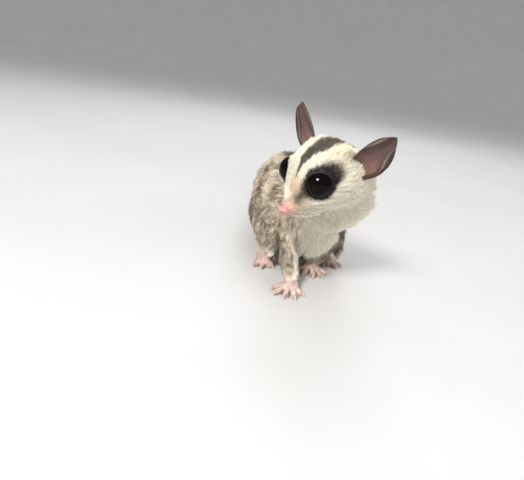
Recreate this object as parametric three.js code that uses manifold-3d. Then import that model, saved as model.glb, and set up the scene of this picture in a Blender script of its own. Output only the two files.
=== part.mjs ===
// Sugar glider (Petaurus breviceps), life size, crouched on level ground with its head turned to its right.
// Millimetres, +Z up. The body faces -Y and its left side is +X. The paws and the tail rest at z = 0.
// Every solid reaches out to the tips of the coat. Neighbouring pieces meet face to face across a thin gap.
import * as THREE from 'three';
import { mergeVertices } from 'three/addons/utils/BufferGeometryUtils.js';
import Module from 'manifold-3d';

const wasm = await Module();
wasm.setup();

// Driving dimensions
const GAP = 0.3;
const FAR = 400;

// Trunk along Y: place, middle across, half width, top and bottom of the coat
const TRUNK = [
  [-50, 2, 9.5, 35.5, 22],
  [-43, 2, 13.4, 38.5, 9.5],
  [-30, 1, 15.2, 41.5, 6],
  [-15, -0.5, 16, 44.5, 4],
  [0, -0.5, 16.4, 46, 2],
  [14, -0.5, 17, 45.5, -0.6],
  [26, -0.5, 16.4, 42, -0.6],
  [36, 0, 14.2, 36, 0.4],
  [44, 0, 11.4, 29, 1.4],
  [50, 0, 9.6, 23.6, 2.4],
  [55, 0, 8.4, 19.6, 3],
];
const CHEST_END = -16;
const BELLY_END = 17;

// Head in its own axes: x to its left, y to its back, z to its crown
const HEAD_PLACE = [-4.7, -56.6, 47.8];
const HEAD_YAW = -60;
const HEAD_PITCH = 18.6;
const HEAD_TILT = 7.2;
const SKULL = [
  [-17.6, 0, 2.4, -5.3, -9.2],
  [-16, 0, 3.4, -3.2, -9.9],
  [-14, 0, 4.9, -0.4, -10.5],
  [-11.5, 0, 7.7, 4.9, -11.2],
  [-9, 0, 10.4, 8.9, -11.8],
  [-5, 0, 12.8, 11.8, -12.4],
  [0, 0, 14.2, 13, -13],
  [5, 0, 15.4, 13.4, -14],
  [10, 0, 16, 12.4, -15],
  [15, 0, 15.6, 9.4, -16.4],
  [19, 0, 13, 5.4, -14.6],
  [21.5, 0, 9, 1, -10.5],
];
const JAW = [
  [-15.4, 0, 1.4, -9.4, -11.2],
  [-14, 0, 2.4, -8.6, -12],
  [-11, 0, 3.8, -8, -13],
  [-7, 0, 5.6, -7.6, -13.8],
  [-2, 0, 7, -7.4, -14],
];
const MOUTH_LINE = [
  [-18, -9.2],
  [-15.6, -9.3],
  [-13, -9.9],
  [-10.5, -10],
  [-8.2, -9.2],
];
const JAW_HINGE_DEPTH = 20;
const LIP_RADIUS = 0.6;
const LIP_LIFT = 0.45;
const UPPER_LIP_SUNK = 0.2;
const LOWER_LIP_SUNK = 0.75;

const EYE_RADIUS = 5;
const EYE_PLACE = [7.1, -7.2, 2.6];
const EYE_GAZE = [0.66, -0.7, 0.22];
const EYE_OPENING = 4.5;
const ORBIT_SKIN = 0.5;
const UPPER_LID = 0.6;
const LOWER_LID = 0.55;

const NOSE_PLACE = [0, -18, -7.4];
const NOSE_HALF = [2.3, 1.6, 1.7];
const NOSTRIL_RADIUS = 0.5;

const EAR_ROOT = [8.7, 6.5, 2];
const EAR_TIP = [22.9, 11.6, 18.9];
const EAR_FACING = { left: [0.42, -0.9, 0.15], right: [-0.16, -0.96, 0.15] };
const EAR_HALF_WIDTH = 5.4;
const EAR_WIDEST = 0.5;
const EAR_ROOT_SHARE = 0.4;
const EAR_CUP = 3;
const EAR_LEAN = 0.6;
const EAR_BOW = 1;
const EAR_THICKNESS = 0.8;

const NECK_PATH = [
  [0.5, -26, 30],
  [1.8, -35, 31],
  [6, -43.5, 34.5],
  [17.5, -54, 40.5],
];
const NECK_RADII = [13, 13, 12.6, 11];

// Limbs: the middle of the upper length from its root to the elbow or knee, then the wrist or heel
const ARMS = {
  right: { upper: [[-7.5, -35, 30], [-10, -45, 17]], end: [-7, -52.6, 2.6], turn: -26 },
  left: { upper: [[11, -36, 28], [13.5, -32, 14]], end: [6.5, -30, 2.6], turn: -5 },
};
const LEGS = {
  right: { upper: [[-7, 20, 20], [-9.2, 4, 19], [-12.6, -27.5, 14.5]], end: [-14, -20, 2.8], turn: -4 },
  left: { upper: [[6.5, 20, 20], [8.4, 4, 19], [12.6, -22, 14.5]], end: [15.5, -13, 2.8], turn: 6 },
};
const ARM_RADII = { upper: [6.8, 4.8], end: 3 };
const LEG_RADII = { upper: [8, 11.4, 6], end: 3.2 };
const BEND_OVERLAP = 3;
const BEND_PAST = 2.5;

// Digits of a paw: fan angle in degrees, length, and how far from the wrist each starts
const HAND = {
  palm: { length: 6.8, halfWidth: 3.9, height: 4.1 },
  digits: [
    { angle: 55, length: 6, root: 2.6 },
    { angle: 27, length: 7.6, root: 4.6 },
    { angle: 2, length: 8.2, root: 5 },
    { angle: -22, length: 7.8, root: 4.8 },
    { angle: -48, length: 6.6, root: 3.4 },
  ],
  claw: 2,
};
const FOOT = {
  palm: { length: 13.5, halfWidth: 3.7, height: 4.3 },
  digits: [
    { angle: 66, length: 5.8, root: 7.4, clawless: true },
    { angle: 17, length: 6.2, root: 10.6 },
    { angle: 6, length: 6.6, root: 10.9 },
    { angle: -9, length: 8.8, root: 10.8 },
    { angle: -26, length: 7.6, root: 10 },
  ],
  claw: 2.2,
};
const DIGIT_RADIUS = 1.15;
const CLAW_RADIUS = 0.5;

// Gliding membrane, gathered as a wavy fold along each flank from forearm to shank
const FOLD_FROM = -38;
const FOLD_TO = -9;
const FOLD_TOP = [27, 18];
const FOLD_HEM = [6.5, 12];
const FOLD_ROOTED = 2;
const FOLD_REACH = 2.2;
const FOLD_WAVE = 0.8;
const FOLD_WAVES = 2.5;
const FOLD_THICKNESS = 2.2;

// Tail, laid in an easy curve behind the body
const TAIL_PATH = [
  [0, 45, 17],
  [0, 53, 12],
  [1, 64, 8.6],
  [5, 86, 8.3],
  [13, 110, 8.3],
  [25, 134, 8.2],
  [40, 156, 7.4],
  [57, 176, 5.8],
];
const TAIL_GIRTH = [
  [0, 9.2, 8.6],
  [0.1, 9.2, 8.6],
  [0.3, 9.8, 8.6],
  [0.6, 10.4, 8.6],
  [0.85, 8.6, 7.8],
  [1, 4, 4],
];
const TAIL_CUTS = [0.365, 0.735];

// Coat of the tail: flat tapered locks in rows, laid back along a core, which is thick at the root.
// Places and lengths are shares of the tail.
const TAIL_CORE = [0.98, 0.86, 0.5, 0.5, 0.5, 0.5];
const TAIL_CORE_END = 0.94;
const LOCK_ROWS = { from: 0, to: 0.88, count: 11, around: 5 };
const LOCK_LENGTH = 0.19;
const LOCK_HALF_WIDTH = 3.9;
const LOCK_HALF_THICKNESS = 0.9;
const LOCK_RISE = [[0, 0.3], [0.36, 0.74], [0.72, 0.97], [1, 1]];
const LOCK_SHAPE = [[0, 0.6, 1], [0.4, 1, 1], [0.75, 0.75, 0.7], [1, 0.12, 0.2]];
const LOCK_SWAY = 0.3;

const COLOURS = {
  greyFur: 0x8d8374,
  creamFur: 0xe6dccb,
  bareSkin: 0xe3b5a4,
  nosePink: 0xe09a94,
  earSkin: 0x8f7468,
  eye: 0x0c0908,
  tailFur: 0x6f665b,
};

// Shapes

function toVector([x, y, z]) {
  return new THREE.Vector3(x, y, z);
}

// How full a rounded end is at a share of the length, with caps as the shares that round off
function dome(share, caps) {
  const fromStart = Math.min(share / caps[0], 1);
  const fromEnd = Math.min((1 - share) / caps[1], 1);
  return Math.sqrt(1 - (1 - fromStart) ** 2) * Math.sqrt(1 - (1 - fromEnd) ** 2);
}

function interpolant(rows) {
  const size = rows[0].length - 1;
  const places = rows.map((row) => row[0]);
  const values = rows.flatMap((row) => row.slice(1));
  return new THREE.CubicInterpolant(places, values, size, new Float32Array(size));
}

function bare(geometry) {
  geometry.deleteAttribute('normal');
  geometry.deleteAttribute('uv');
  return mergeVertices(geometry, 1e-4);
}

// A round form along Y from stations of place, middle across, half width, top and bottom
function mass({ stations, caps = [0.12, 0.12], sides = 20, rings = 16 }) {
  const measure = interpolant(stations);
  const start = stations[0][0];
  const length = stations[stations.length - 1][0] - start;
  const geometry = new THREE.SphereGeometry(1, sides, rings);
  const positions = geometry.attributes.position;
  for (let i = 0; i < positions.count; i += 1) {
    const share = THREE.MathUtils.clamp((1 - positions.getY(i)) / 2, 0, 1);
    const around = Math.atan2(positions.getZ(i), positions.getX(i));
    const y = start + share * length;
    const [middle, halfWidth, top, bottom] = measure.evaluate(y);
    const fullness = dome(share, caps);
    const x = middle - halfWidth * fullness * Math.cos(around);
    const z = (top + bottom) / 2 + ((top - bottom) / 2) * fullness * Math.sin(around);
    positions.setXYZ(i, x, y, z);
  }
  return bare(geometry);
}

// A round form along a curve from rows of share along it, half size across it and half size above it.
// turn is the angle by which the corners of each section are turned.
function limb({ path, girth, across = [1, 0, 0], turn = 0, caps = [0.15, 0.15], sides = 10, rings = 8 }) {
  const curve = new THREE.CatmullRomCurve3(path.map(toVector));
  const measure = interpolant(girth);
  const geometry = new THREE.SphereGeometry(1, sides, rings);
  const positions = geometry.attributes.position;
  for (let i = 0; i < positions.count; i += 1) {
    const share = THREE.MathUtils.clamp((1 - positions.getY(i)) / 2, 0, 1);
    const around = Math.atan2(positions.getZ(i), positions.getX(i)) + turn;
    const tangent = curve.getTangentAt(share);
    const sideways = toVector(across).projectOnPlane(tangent).normalize();
    const upwards = new THREE.Vector3().crossVectors(sideways, tangent);
    const [halfAcross, halfAbove] = measure.evaluate(share);
    const fullness = dome(share, caps);
    const point = curve.getPointAt(share);
    point.addScaledVector(sideways, -halfAcross * fullness * Math.cos(around));
    point.addScaledVector(upwards, halfAbove * fullness * Math.sin(around));
    positions.setXYZ(i, point.x, point.y, point.z);
  }
  return bare(geometry);
}

// A tapering round limb between joints
function taperedLimb(path, radii, options = {}) {
  const girth = radii.map((radius, i) => [i / (radii.length - 1), radius, radius]);
  return limb({ path, girth, ...options });
}

// A thin curved plate. place gives the point at u across and v along, both from 0 to 1, on side +1 or -1.
function plate(across, along, place) {
  const flat = new THREE.PlaneGeometry(1, 1, across, along);
  const count = flat.attributes.position.count;
  const points = [];
  for (const side of [1, -1]) {
    for (let i = 0; i < count; i += 1) {
      const u = flat.attributes.position.getX(i) + 0.5;
      const v = flat.attributes.position.getY(i) + 0.5;
      points.push(...place(u, v, side).toArray());
    }
  }
  const front = Array.from(flat.index.array);
  const faces = [...front];
  for (let i = 0; i < front.length; i += 3) {
    faces.push(front[i] + count, front[i + 2] + count, front[i + 1] + count);
  }
  for (const [from, to] of rimEdges(across, along)) {
    faces.push(from, from + count, to, to, from + count, to + count);
  }
  const geometry = new THREE.BufferGeometry();
  geometry.setAttribute('position', new THREE.Float32BufferAttribute(points, 3));
  geometry.setIndex(faces);
  return outward(geometry);
}

// The edges round a grid of points, each running the way its own face does
function rimEdges(across, along) {
  const row = across + 1;
  const corner = row * along;
  const edges = [];
  for (let i = 0; i < across; i += 1) {
    edges.push([i + 1, i], [corner + i, corner + i + 1]);
  }
  for (let j = 0; j < along; j += 1) {
    edges.push([j * row, (j + 1) * row], [(j + 1) * row + across, j * row + across]);
  }
  return edges;
}

function signedVolume(geometry) {
  const positions = geometry.attributes.position;
  const corners = [new THREE.Vector3(), new THREE.Vector3(), new THREE.Vector3()];
  let sum = 0;
  for (let i = 0; i < geometry.index.count; i += 3) {
    corners.forEach((corner, k) => corner.fromBufferAttribute(positions, geometry.index.getX(i + k)));
    sum += corners[0].dot(corners[1].clone().cross(corners[2])) / 6;
  }
  return sum;
}

function outward(geometry) {
  if (signedVolume(geometry) > 0) return geometry;
  const turned = Array.from(geometry.index.array);
  for (let i = 0; i < turned.length; i += 3) {
    [turned[i + 1], turned[i + 2]] = [turned[i + 2], turned[i + 1]];
  }
  geometry.setIndex(turned);
  return geometry;
}

function ball(place, half, sides = 16, rings = 12) {
  const geometry = bare(new THREE.SphereGeometry(1, sides, rings));
  geometry.scale(...half);
  geometry.translate(...place);
  return geometry;
}

function block(from, to) {
  const size = to.map((value, i) => value - from[i]);
  const geometry = bare(new THREE.BoxGeometry(...size));
  geometry.translate(...from.map((value, i) => value + size[i] / 2));
  return geometry;
}

// The same form with its surface moved out along its normals
function swollen(geometry, amount = GAP) {
  const grown = geometry.clone();
  grown.computeVertexNormals();
  const positions = grown.attributes.position;
  const normals = grown.attributes.normal;
  for (let i = 0; i < positions.count; i += 1) {
    const x = positions.getX(i) + normals.getX(i) * amount;
    const y = positions.getY(i) + normals.getY(i) * amount;
    const z = positions.getZ(i) + normals.getZ(i) * amount;
    positions.setXYZ(i, x, y, z);
  }
  grown.deleteAttribute('normal');
  return grown;
}

// Joins and cuts

function solid(geometry) {
  const vertProperties = Float32Array.from(geometry.attributes.position.array);
  const triVerts = Uint32Array.from(geometry.index.array);
  return new wasm.Manifold(new wasm.Mesh({ numProp: 3, vertProperties, triVerts }));
}

function fuse(geometries) {
  return geometries.map(solid).reduce((whole, piece) => whole.add(piece));
}

function clearance(geometries) {
  return fuse(geometries.map((geometry) => swollen(geometry)));
}

function largest(whole) {
  return whole.decompose().reduce((best, piece) => (piece.volume() > best.volume() ? piece : best));
}

function moved(geometries, matrix) {
  return geometries.map((geometry) => geometry.clone().applyMatrix4(matrix));
}

const ground = solid(block([-FAR, -FAR, -FAR], [FAR, FAR, 0]));

// Scene

const model = new THREE.Group();

function addPiece(group, name, whole, colour, roughness = 0.9) {
  const { vertProperties, triVerts } = largest(whole).getMesh();
  const geometry = new THREE.BufferGeometry();
  geometry.setAttribute('position', new THREE.BufferAttribute(vertProperties, 3));
  geometry.setIndex(new THREE.BufferAttribute(triVerts, 1));
  geometry.computeVertexNormals();
  const material = new THREE.MeshStandardMaterial({ color: colour, roughness, metalness: 0 });
  const mesh = new THREE.Mesh(geometry, material);
  mesh.name = name;
  group.add(mesh);
}

// Head

const headGroup = new THREE.Group();
headGroup.position.set(...HEAD_PLACE);
headGroup.rotation.set(
  THREE.MathUtils.degToRad(HEAD_PITCH),
  THREE.MathUtils.degToRad(HEAD_TILT),
  THREE.MathUtils.degToRad(HEAD_YAW),
  'ZXY',
);
headGroup.updateMatrix();
model.add(headGroup);

const skullForm = mass({ stations: SKULL, caps: [0.06, 0.16], sides: 20, rings: 18 });
const jawForm = mass({ stations: JAW, caps: [0.14, 0.3], sides: 14, rings: 10 });

// Half width of the muzzle at a place along it and a height
function muzzleSide(y, z) {
  const [, halfWidth, top, bottom] = interpolant(SKULL).evaluate(y);
  const height = (z - (top + bottom) / 2) / ((top - bottom) / 2);
  return halfWidth * Math.sqrt(Math.max(1 - height ** 2, 0.05));
}

function mirrorTo(side, [x, y, z]) {
  return [side * x, y, z];
}

function lips(lift, sunk) {
  return [1, -1].map((side) => {
    const path = MOUTH_LINE.slice(1).map(([y, z]) => [side * (muzzleSide(y, z) - sunk), y, z + lift]);
    return taperedLimb(path, [LIP_RADIUS, LIP_RADIUS, LIP_RADIUS * 0.5], { across: [0, 0, 1], sides: 8, rings: 8 });
  });
}

// Everything below the line of the mouth and before the corner of the jaw
function underMouth(margin) {
  const outline = new THREE.Shape();
  outline.moveTo(-FAR, MOUTH_LINE[0][1] + margin);
  MOUTH_LINE.forEach(([y, z], i) => outline.lineTo(y + (i === MOUTH_LINE.length - 1 ? margin : 0), z + margin));
  outline.lineTo(MOUTH_LINE[MOUTH_LINE.length - 1][0] + 2 + margin, -JAW_HINGE_DEPTH);
  outline.lineTo(-FAR, -JAW_HINGE_DEPTH);
  const geometry = bare(new THREE.ExtrudeGeometry(outline, { depth: 60, bevelEnabled: false }));
  geometry.translate(0, 0, -30);
  const turn = new THREE.Matrix4().makeBasis(toVector([0, 1, 0]), toVector([0, 0, 1]), toVector([1, 0, 0]));
  return solid(geometry.applyMatrix4(turn));
}

function eyeball(side, radius) {
  return ball(mirrorTo(side, EYE_PLACE), [radius, radius, radius], 16, 11);
}

// Everything beyond a plane, on the side that its normal points to
function beyond(point, normal) {
  const geometry = block([-FAR, -FAR, 0], [FAR, FAR, FAR]);
  geometry.applyQuaternion(new THREE.Quaternion().setFromUnitVectors(new THREE.Vector3(0, 0, 1), normal));
  return solid(geometry.translate(point.x, point.y, point.z));
}

// The skin that wraps the eyeball up to its opening, with an upper and a lower lid that meet at the corners
function orbit(side) {
  const gaze = toVector(mirrorTo(side, EYE_GAZE)).normalize();
  const corner = toVector([0, -1, -0.28]).projectOnPlane(gaze).normalize();
  const rise = new THREE.Vector3(0, 0, 1).projectOnPlane(gaze).projectOnPlane(corner).normalize();
  const depth = Math.sqrt(EYE_RADIUS ** 2 - EYE_OPENING ** 2);
  const middle = toVector(mirrorTo(side, EYE_PLACE)).addScaledVector(gaze, depth);
  const lid = (way, thickness) => {
    const path = [-12, 25, 60, 90, 120, 155, 192].map((degrees) => {
      const angle = THREE.MathUtils.degToRad(degrees);
      const reach = EYE_OPENING + thickness * 0.6;
      const point = middle.clone().addScaledVector(corner, reach * Math.cos(angle));
      return point.addScaledVector(rise, way * reach * Math.sin(angle)).toArray();
    });
    const radii = [thickness * 0.7, thickness, thickness * 0.7];
    return solid(taperedLimb(path, radii, { across: gaze.toArray(), sides: 6, rings: 10 }));
  };
  const wrap = solid(eyeball(side, EYE_RADIUS + ORBIT_SKIN)).subtract(beyond(middle, gaze));
  return wrap.add(lid(1, UPPER_LID)).add(lid(-1, LOWER_LID));
}

// A cupped ear: narrow at the root, widest below the middle, rounded at the tip
function ear(side, forward) {
  const root = toVector(mirrorTo(side, EAR_ROOT));
  const rise = toVector(mirrorTo(side, EAR_TIP)).sub(root);
  const length = rise.length();
  rise.normalize();
  const facing = toVector(forward).projectOnPlane(rise).normalize();
  const across = new THREE.Vector3().crossVectors(rise, facing);
  return plate(7, 8, (u, v, face) => {
    const spread = 2 * u - 1;
    const swell = Math.sin((Math.min(v / EAR_WIDEST, 1) * Math.PI) / 2);
    const belly = v < EAR_WIDEST
      ? THREE.MathUtils.lerp(EAR_ROOT_SHARE, 1, swell)
      : Math.sqrt(1 - ((v - EAR_WIDEST) / (1.03 - EAR_WIDEST)) ** 2);
    const halfWidth = EAR_HALF_WIDTH * belly;
    const curl = EAR_CUP * (1 - 0.45 * v) * (spread ** 2 - 0.5);
    const lean = EAR_LEAN * v ** 2;
    const thickness = EAR_THICKNESS * (1 - 0.3 * v) * (1 - 0.25 * spread ** 2);
    const point = root.clone().addScaledVector(rise, v * length - 1.2 * v * spread ** 2);
    point.addScaledVector(across, halfWidth * spread + side * EAR_BOW * Math.sin(v * Math.PI));
    return point.addScaledVector(facing, curl + lean + (face * thickness) / 2);
  });
}

const sides = { left: 1, right: -1 };
const eyeClearance = fuse([eyeball(1, EYE_RADIUS + GAP), eyeball(-1, EYE_RADIUS + GAP)]);
const noseForm = ball(NOSE_PLACE, NOSE_HALF, 12, 8);
const wholeHead = fuse([skullForm, jawForm]).add(orbit(1)).add(orbit(-1)).subtract(eyeClearance)
  .subtract(clearance([noseForm]));

const nostrils = fuse([1, -1].map((side) => taperedLimb(
  [[side * 0.8, -20.3, -7.5], [side * 1, -19.1, -7.4], [side * 1.7, -18.5, -6.9]],
  [NOSTRIL_RADIUS, NOSTRIL_RADIUS, NOSTRIL_RADIUS * 0.7],
  { across: [0, 0, 1], sides: 6, rings: 5 },
)));

addPiece(headGroup, 'head', wholeHead.subtract(underMouth(GAP)).add(fuse(lips(LIP_LIFT, UPPER_LIP_SUNK)))
  .subtract(underMouth(GAP)).subtract(clearance([noseForm])), COLOURS.creamFur);
addPiece(headGroup, 'lower_jaw', wholeHead.intersect(underMouth(0)).add(fuse(lips(-LIP_LIFT, LOWER_LIP_SUNK)))
  .intersect(underMouth(0)), COLOURS.creamFur);
addPiece(headGroup, 'nose', solid(noseForm).subtract(nostrils), COLOURS.nosePink, 0.5);
for (const [name, side] of Object.entries(sides)) {
  addPiece(headGroup, `eye_${name}`, solid(eyeball(side, EYE_RADIUS)), COLOURS.eye, 0.05);
  const freeEar = solid(ear(side, EAR_FACING[name])).subtract(clearance([skullForm]));
  addPiece(headGroup, `ear_${name}`, freeEar, COLOURS.earSkin, 0.7);
}

// Paws

// A paw in its own axes: the wrist or heel at y = 0, digits towards -y, the sole at z = 0
function pawForms({ palm, digits, claw }, side) {
  const forms = [];
  const sole = [-0.12, 0.35, 0.7, 1].map((share) => [0, -share * palm.length, palm.height * (0.52 - 0.14 * share)]);
  forms.push(limb({
    path: sole,
    girth: [[0, palm.halfWidth * 0.75, palm.height * 0.55], [0.6, palm.halfWidth, palm.height * 0.5],
      [1, palm.halfWidth * 0.9, palm.height * 0.36]],
    caps: [0.2, 0.25],
    sides: 10,
    rings: 8,
  }));
  for (const digit of digits) {
    const angle = THREE.MathUtils.degToRad(digit.angle);
    const point = (reach, z) => {
      const x = -side * Math.sin(angle) * (reach + digit.root * 0.35);
      const y = -Math.cos(angle) * reach - digit.root * (1 - 0.35 * Math.cos(angle));
      return [x, y, z];
    };
    const across = [Math.cos(angle), -side * Math.sin(angle), 0];
    forms.push(limb({
      path: [point(-1.5, 1.6), point(digit.length * 0.4, 2), point(digit.length * 0.8, 1.1), point(digit.length, 0.75)],
      girth: [[0, DIGIT_RADIUS, DIGIT_RADIUS], [0.6, DIGIT_RADIUS * 0.85, DIGIT_RADIUS * 0.85],
        [0.88, DIGIT_RADIUS, DIGIT_RADIUS * 0.9], [1, DIGIT_RADIUS * 0.8, DIGIT_RADIUS * 0.8]],
      across,
      caps: [0.2, 0.14],
      sides: 6,
      rings: 5,
    }));
    if (!digit.clawless) {
      const tip = digit.length;
      forms.push(limb({
        path: [point(tip - 0.9, 1.25), point(tip + claw * 0.45, 1.35), point(tip + claw * 0.85, 0.35)],
        girth: [[0, CLAW_RADIUS, CLAW_RADIUS], [0.5, CLAW_RADIUS * 0.8, CLAW_RADIUS], [1, 0.2, 0.25]],
        across,
        caps: [0.1, 0.1],
        sides: 4,
        rings: 3,
      }));
    }
  }
  return forms;
}

function pawMatrix(place, turn) {
  const matrix = new THREE.Matrix4().makeRotationZ(THREE.MathUtils.degToRad(turn));
  return matrix.setPosition(place[0], place[1], 0);
}

// Where the lower length starts, inside the upper one, and where the upper one ends, past the elbow or knee
function bendPoints({ upper, end }) {
  const middle = toVector(upper[upper.length - 1]);
  const upwards = toVector(upper[upper.length - 2]).sub(middle).normalize();
  const onwards = middle.clone().sub(toVector(end)).normalize();
  const back = middle.clone().addScaledVector(onwards.add(upwards).normalize(), BEND_OVERLAP);
  return { back: back.toArray(), past: middle.clone().addScaledVector(upwards, -BEND_PAST).toArray() };
}

const limbForms = [];

function addLimb(side, names, joints, radii, paw) {
  const middle = joints.upper[joints.upper.length - 1];
  const middleRadius = radii.upper[radii.upper.length - 1];
  const pawForm = moved(pawForms(paw, sides[side]), pawMatrix(joints.end, joints.turn));
  const bend = bendPoints(joints);
  const lowerRadii = [middleRadius * 0.8, middleRadius * 0.86, radii.end];
  const lower = taperedLimb([bend.back, middle, joints.end], lowerRadii, { caps: [0.3, 0.06] });
  const upperPath = [...joints.upper.slice(0, -1), bend.past];
  const upper = taperedLimb(upperPath, radii.upper, { caps: [0.25, 0.25], sides: 12, rings: 10 });
  const standing = fuse(pawForm).subtract(ground);
  addPiece(model, `${names[2]}_${side}`, standing, COLOURS.bareSkin, 0.7);
  const lowerWhole = solid(lower).subtract(clearance(pawForm)).subtract(ground);
  addPiece(model, `${names[1]}_${side}`, lowerWhole, COLOURS.greyFur);
  const ownHalf = beyond(new THREE.Vector3((sides[side] * GAP) / 2, 0, 0), new THREE.Vector3(sides[side], 0, 0));
  const upperWhole = solid(upper).intersect(ownHalf).subtract(clearance([lower, ...pawForm]));
  addPiece(model, `${names[0]}_${side}`, upperWhole, COLOURS.greyFur);
  limbForms.push(lower, upper, ...pawForm);
}

for (const side of Object.keys(sides)) {
  addLimb(side, ['upper_arm', 'forearm', 'hand'], ARMS[side], ARM_RADII, HAND);
  addLimb(side, ['thigh', 'shank', 'foot'], LEGS[side], LEG_RADII, FOOT);
}

// Neck and trunk

const headClearance = clearance(moved([skullForm, jawForm], headGroup.matrix));
const limbClearance = clearance(limbForms);
const neckForm = taperedLimb(NECK_PATH, NECK_RADII, { caps: [0.3, 0.45], sides: 14, rings: 12 });
const trunkForm = mass({ stations: TRUNK, caps: [0.1, 0.05], sides: 20, rings: 19 });

addPiece(model, 'neck', solid(neckForm).subtract(headClearance).subtract(limbClearance), COLOURS.greyFur);

const trunk = solid(trunkForm).subtract(headClearance).subtract(clearance([neckForm])).subtract(limbClearance)
  .subtract(ground);
const lengths = {
  chest: [-FAR, CHEST_END],
  belly: [CHEST_END + GAP, BELLY_END],
  rump: [BELLY_END + GAP, FAR],
};
for (const [name, [from, to]] of Object.entries(lengths)) {
  addPiece(model, name, trunk.intersect(solid(block([-FAR, from, -FAR], [FAR, to, FAR]))), COLOURS.greyFur);
}

// Gliding membrane

function membrane(side) {
  const measure = interpolant(TRUNK);
  return plate(14, 4, (u, v, face) => {
    const y = FOLD_FROM + (FOLD_TO - FOLD_FROM) * u;
    const hang = 1 - v;
    const [middle, halfWidth] = measure.evaluate(y);
    const fullness = Math.sqrt(Math.sin(u * Math.PI));
    const swing = FOLD_WAVE * hang ** 1.5 * fullness * Math.sin(u * FOLD_WAVES * 2 * Math.PI);
    const reach = (FOLD_ROOTED + FOLD_REACH * fullness) * Math.sin((Math.min(hang * 3, 1) * Math.PI) / 2);
    const out = halfWidth - FOLD_ROOTED + reach + swing;
    const top = THREE.MathUtils.lerp(FOLD_TOP[0], FOLD_TOP[1], u ** 2);
    const hem = THREE.MathUtils.lerp(FOLD_HEM[0], FOLD_HEM[1], u ** 2);
    const thickness = FOLD_THICKNESS * (1 - 0.35 * hang);
    const z = THREE.MathUtils.lerp(top, hem, hang);
    return new THREE.Vector3(middle + side * (out + (face * thickness) / 2), y, z);
  });
}

for (const [name, side] of Object.entries(sides)) {
  const free = solid(membrane(side)).subtract(clearance([trunkForm])).subtract(limbClearance);
  addPiece(model, `membrane_${name}`, free, COLOURS.greyFur);
}

// Tail

const tailCurve = new THREE.CatmullRomCurve3(TAIL_PATH.map(toVector));
const tailLength = tailCurve.getLength();
const tailMeasure = interpolant(TAIL_GIRTH);

// The point at a share of the tail's length, an angle round it, and out from its middle as a share of its girth
function tailPoint(share, angle, out) {
  const along = THREE.MathUtils.clamp(share, 0, 1);
  const tangent = tailCurve.getTangentAt(along);
  const sideways = new THREE.Vector3(1, 0, 0).projectOnPlane(tangent).normalize();
  const upwards = new THREE.Vector3().crossVectors(sideways, tangent);
  const [halfAcross, halfAbove] = tailMeasure.evaluate(along);
  const point = tailCurve.getPointAt(along).addScaledVector(tangent, (share - along) * tailLength);
  point.addScaledVector(sideways, out * halfAcross * Math.cos(angle));
  return point.addScaledVector(upwards, out * halfAbove * Math.sin(angle));
}

// A flat lock of fur that leaves the core, bends and runs back to a point, made larger by a margin
function tailLock({ share, angle, sway }, margin = 0) {
  const length = LOCK_LENGTH + (margin * 2) / tailLength;
  const path = LOCK_RISE.map(([reach, out]) => (
    tailPoint(share + reach * length, angle + sway * reach ** 2, out).toArray()
  ));
  const before = tailPoint(share + LOCK_LENGTH / 2, angle - 0.1, 1);
  const across = tailPoint(share + LOCK_LENGTH / 2, angle + 0.1, 1).sub(before).normalize();
  const girth = LOCK_SHAPE.map(([place, width, thickness]) => (
    [place, width * LOCK_HALF_WIDTH + margin, thickness * LOCK_HALF_THICKNESS + margin]
  ));
  return limb({ path, girth, across: across.toArray(), turn: Math.PI / 2, caps: [0.15, 0.08], sides: 3, rings: 5 });
}

const corePath = TAIL_PATH.map((place, i) => (
  tailCurve.getPointAt((i / (TAIL_PATH.length - 1)) * TAIL_CORE_END).toArray()
));
const coreGirth = TAIL_GIRTH.map(([place, across, above], i) => [place, across * TAIL_CORE[i], above * TAIL_CORE[i]]);
const core = solid(limb({ path: corePath, girth: coreGirth, caps: [0.04, 0.1], sides: 8, rings: 12 }));
const locks = [];
for (let row = 0; row < LOCK_ROWS.count; row += 1) {
  const share = THREE.MathUtils.lerp(LOCK_ROWS.from, LOCK_ROWS.to, row / (LOCK_ROWS.count - 1));
  for (let i = 0; i < LOCK_ROWS.around; i += 1) {
    const angle = ((i + (row % 2) / 2) / LOCK_ROWS.around) * 2 * Math.PI;
    locks.push({ share, angle, sway: LOCK_SWAY * Math.sin(row * 2.3 + i * 1.7) });
  }
}

// Everything past a level cut across the tail, at a share of its length
function pastCut(share, margin) {
  const tangent = tailCurve.getTangentAt(share).setZ(0).normalize();
  return beyond(tailCurve.getPointAt(share).addScaledVector(tangent, margin), tangent);
}

const tailEnds = [-1, ...TAIL_CUTS, 2];
['tail_base', 'tail_middle', 'tail_end'].forEach((name, i) => {
  const rooted = (from, to) => locks.filter(({ share }) => share >= from && share < to);
  let whole = core;
  if (i > 0) whole = whole.intersect(pastCut(tailEnds[i], GAP));
  if (i < TAIL_CUTS.length) whole = whole.subtract(pastCut(tailEnds[i + 1], 0));
  whole = whole.add(fuse(rooted(tailEnds[i], tailEnds[i + 1]).map((lock) => tailLock(lock))));
  if (i > 0) whole = whole.intersect(pastCut(tailEnds[i], GAP));
  const over = rooted(tailEnds[i] - LOCK_LENGTH * 1.5, tailEnds[i]).map((lock) => tailLock(lock, 2 * GAP));
  whole = whole.subtract(clearance([trunkForm])).subtract(ground);
  if (i > 0) whole = whole.subtract(fuse(over));
  addPiece(model, name, whole, COLOURS.tailFur);
});

// The origin is at the middle of the footprint, on the ground
model.updateMatrixWorld(true);
const box = new THREE.Box3().setFromObject(model, true);
const centre = box.getCenter(new THREE.Vector3());
model.position.set(-centre.x, -centre.y, -box.min.z);
model.updateMatrixWorld(true);

export default model;
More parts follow.
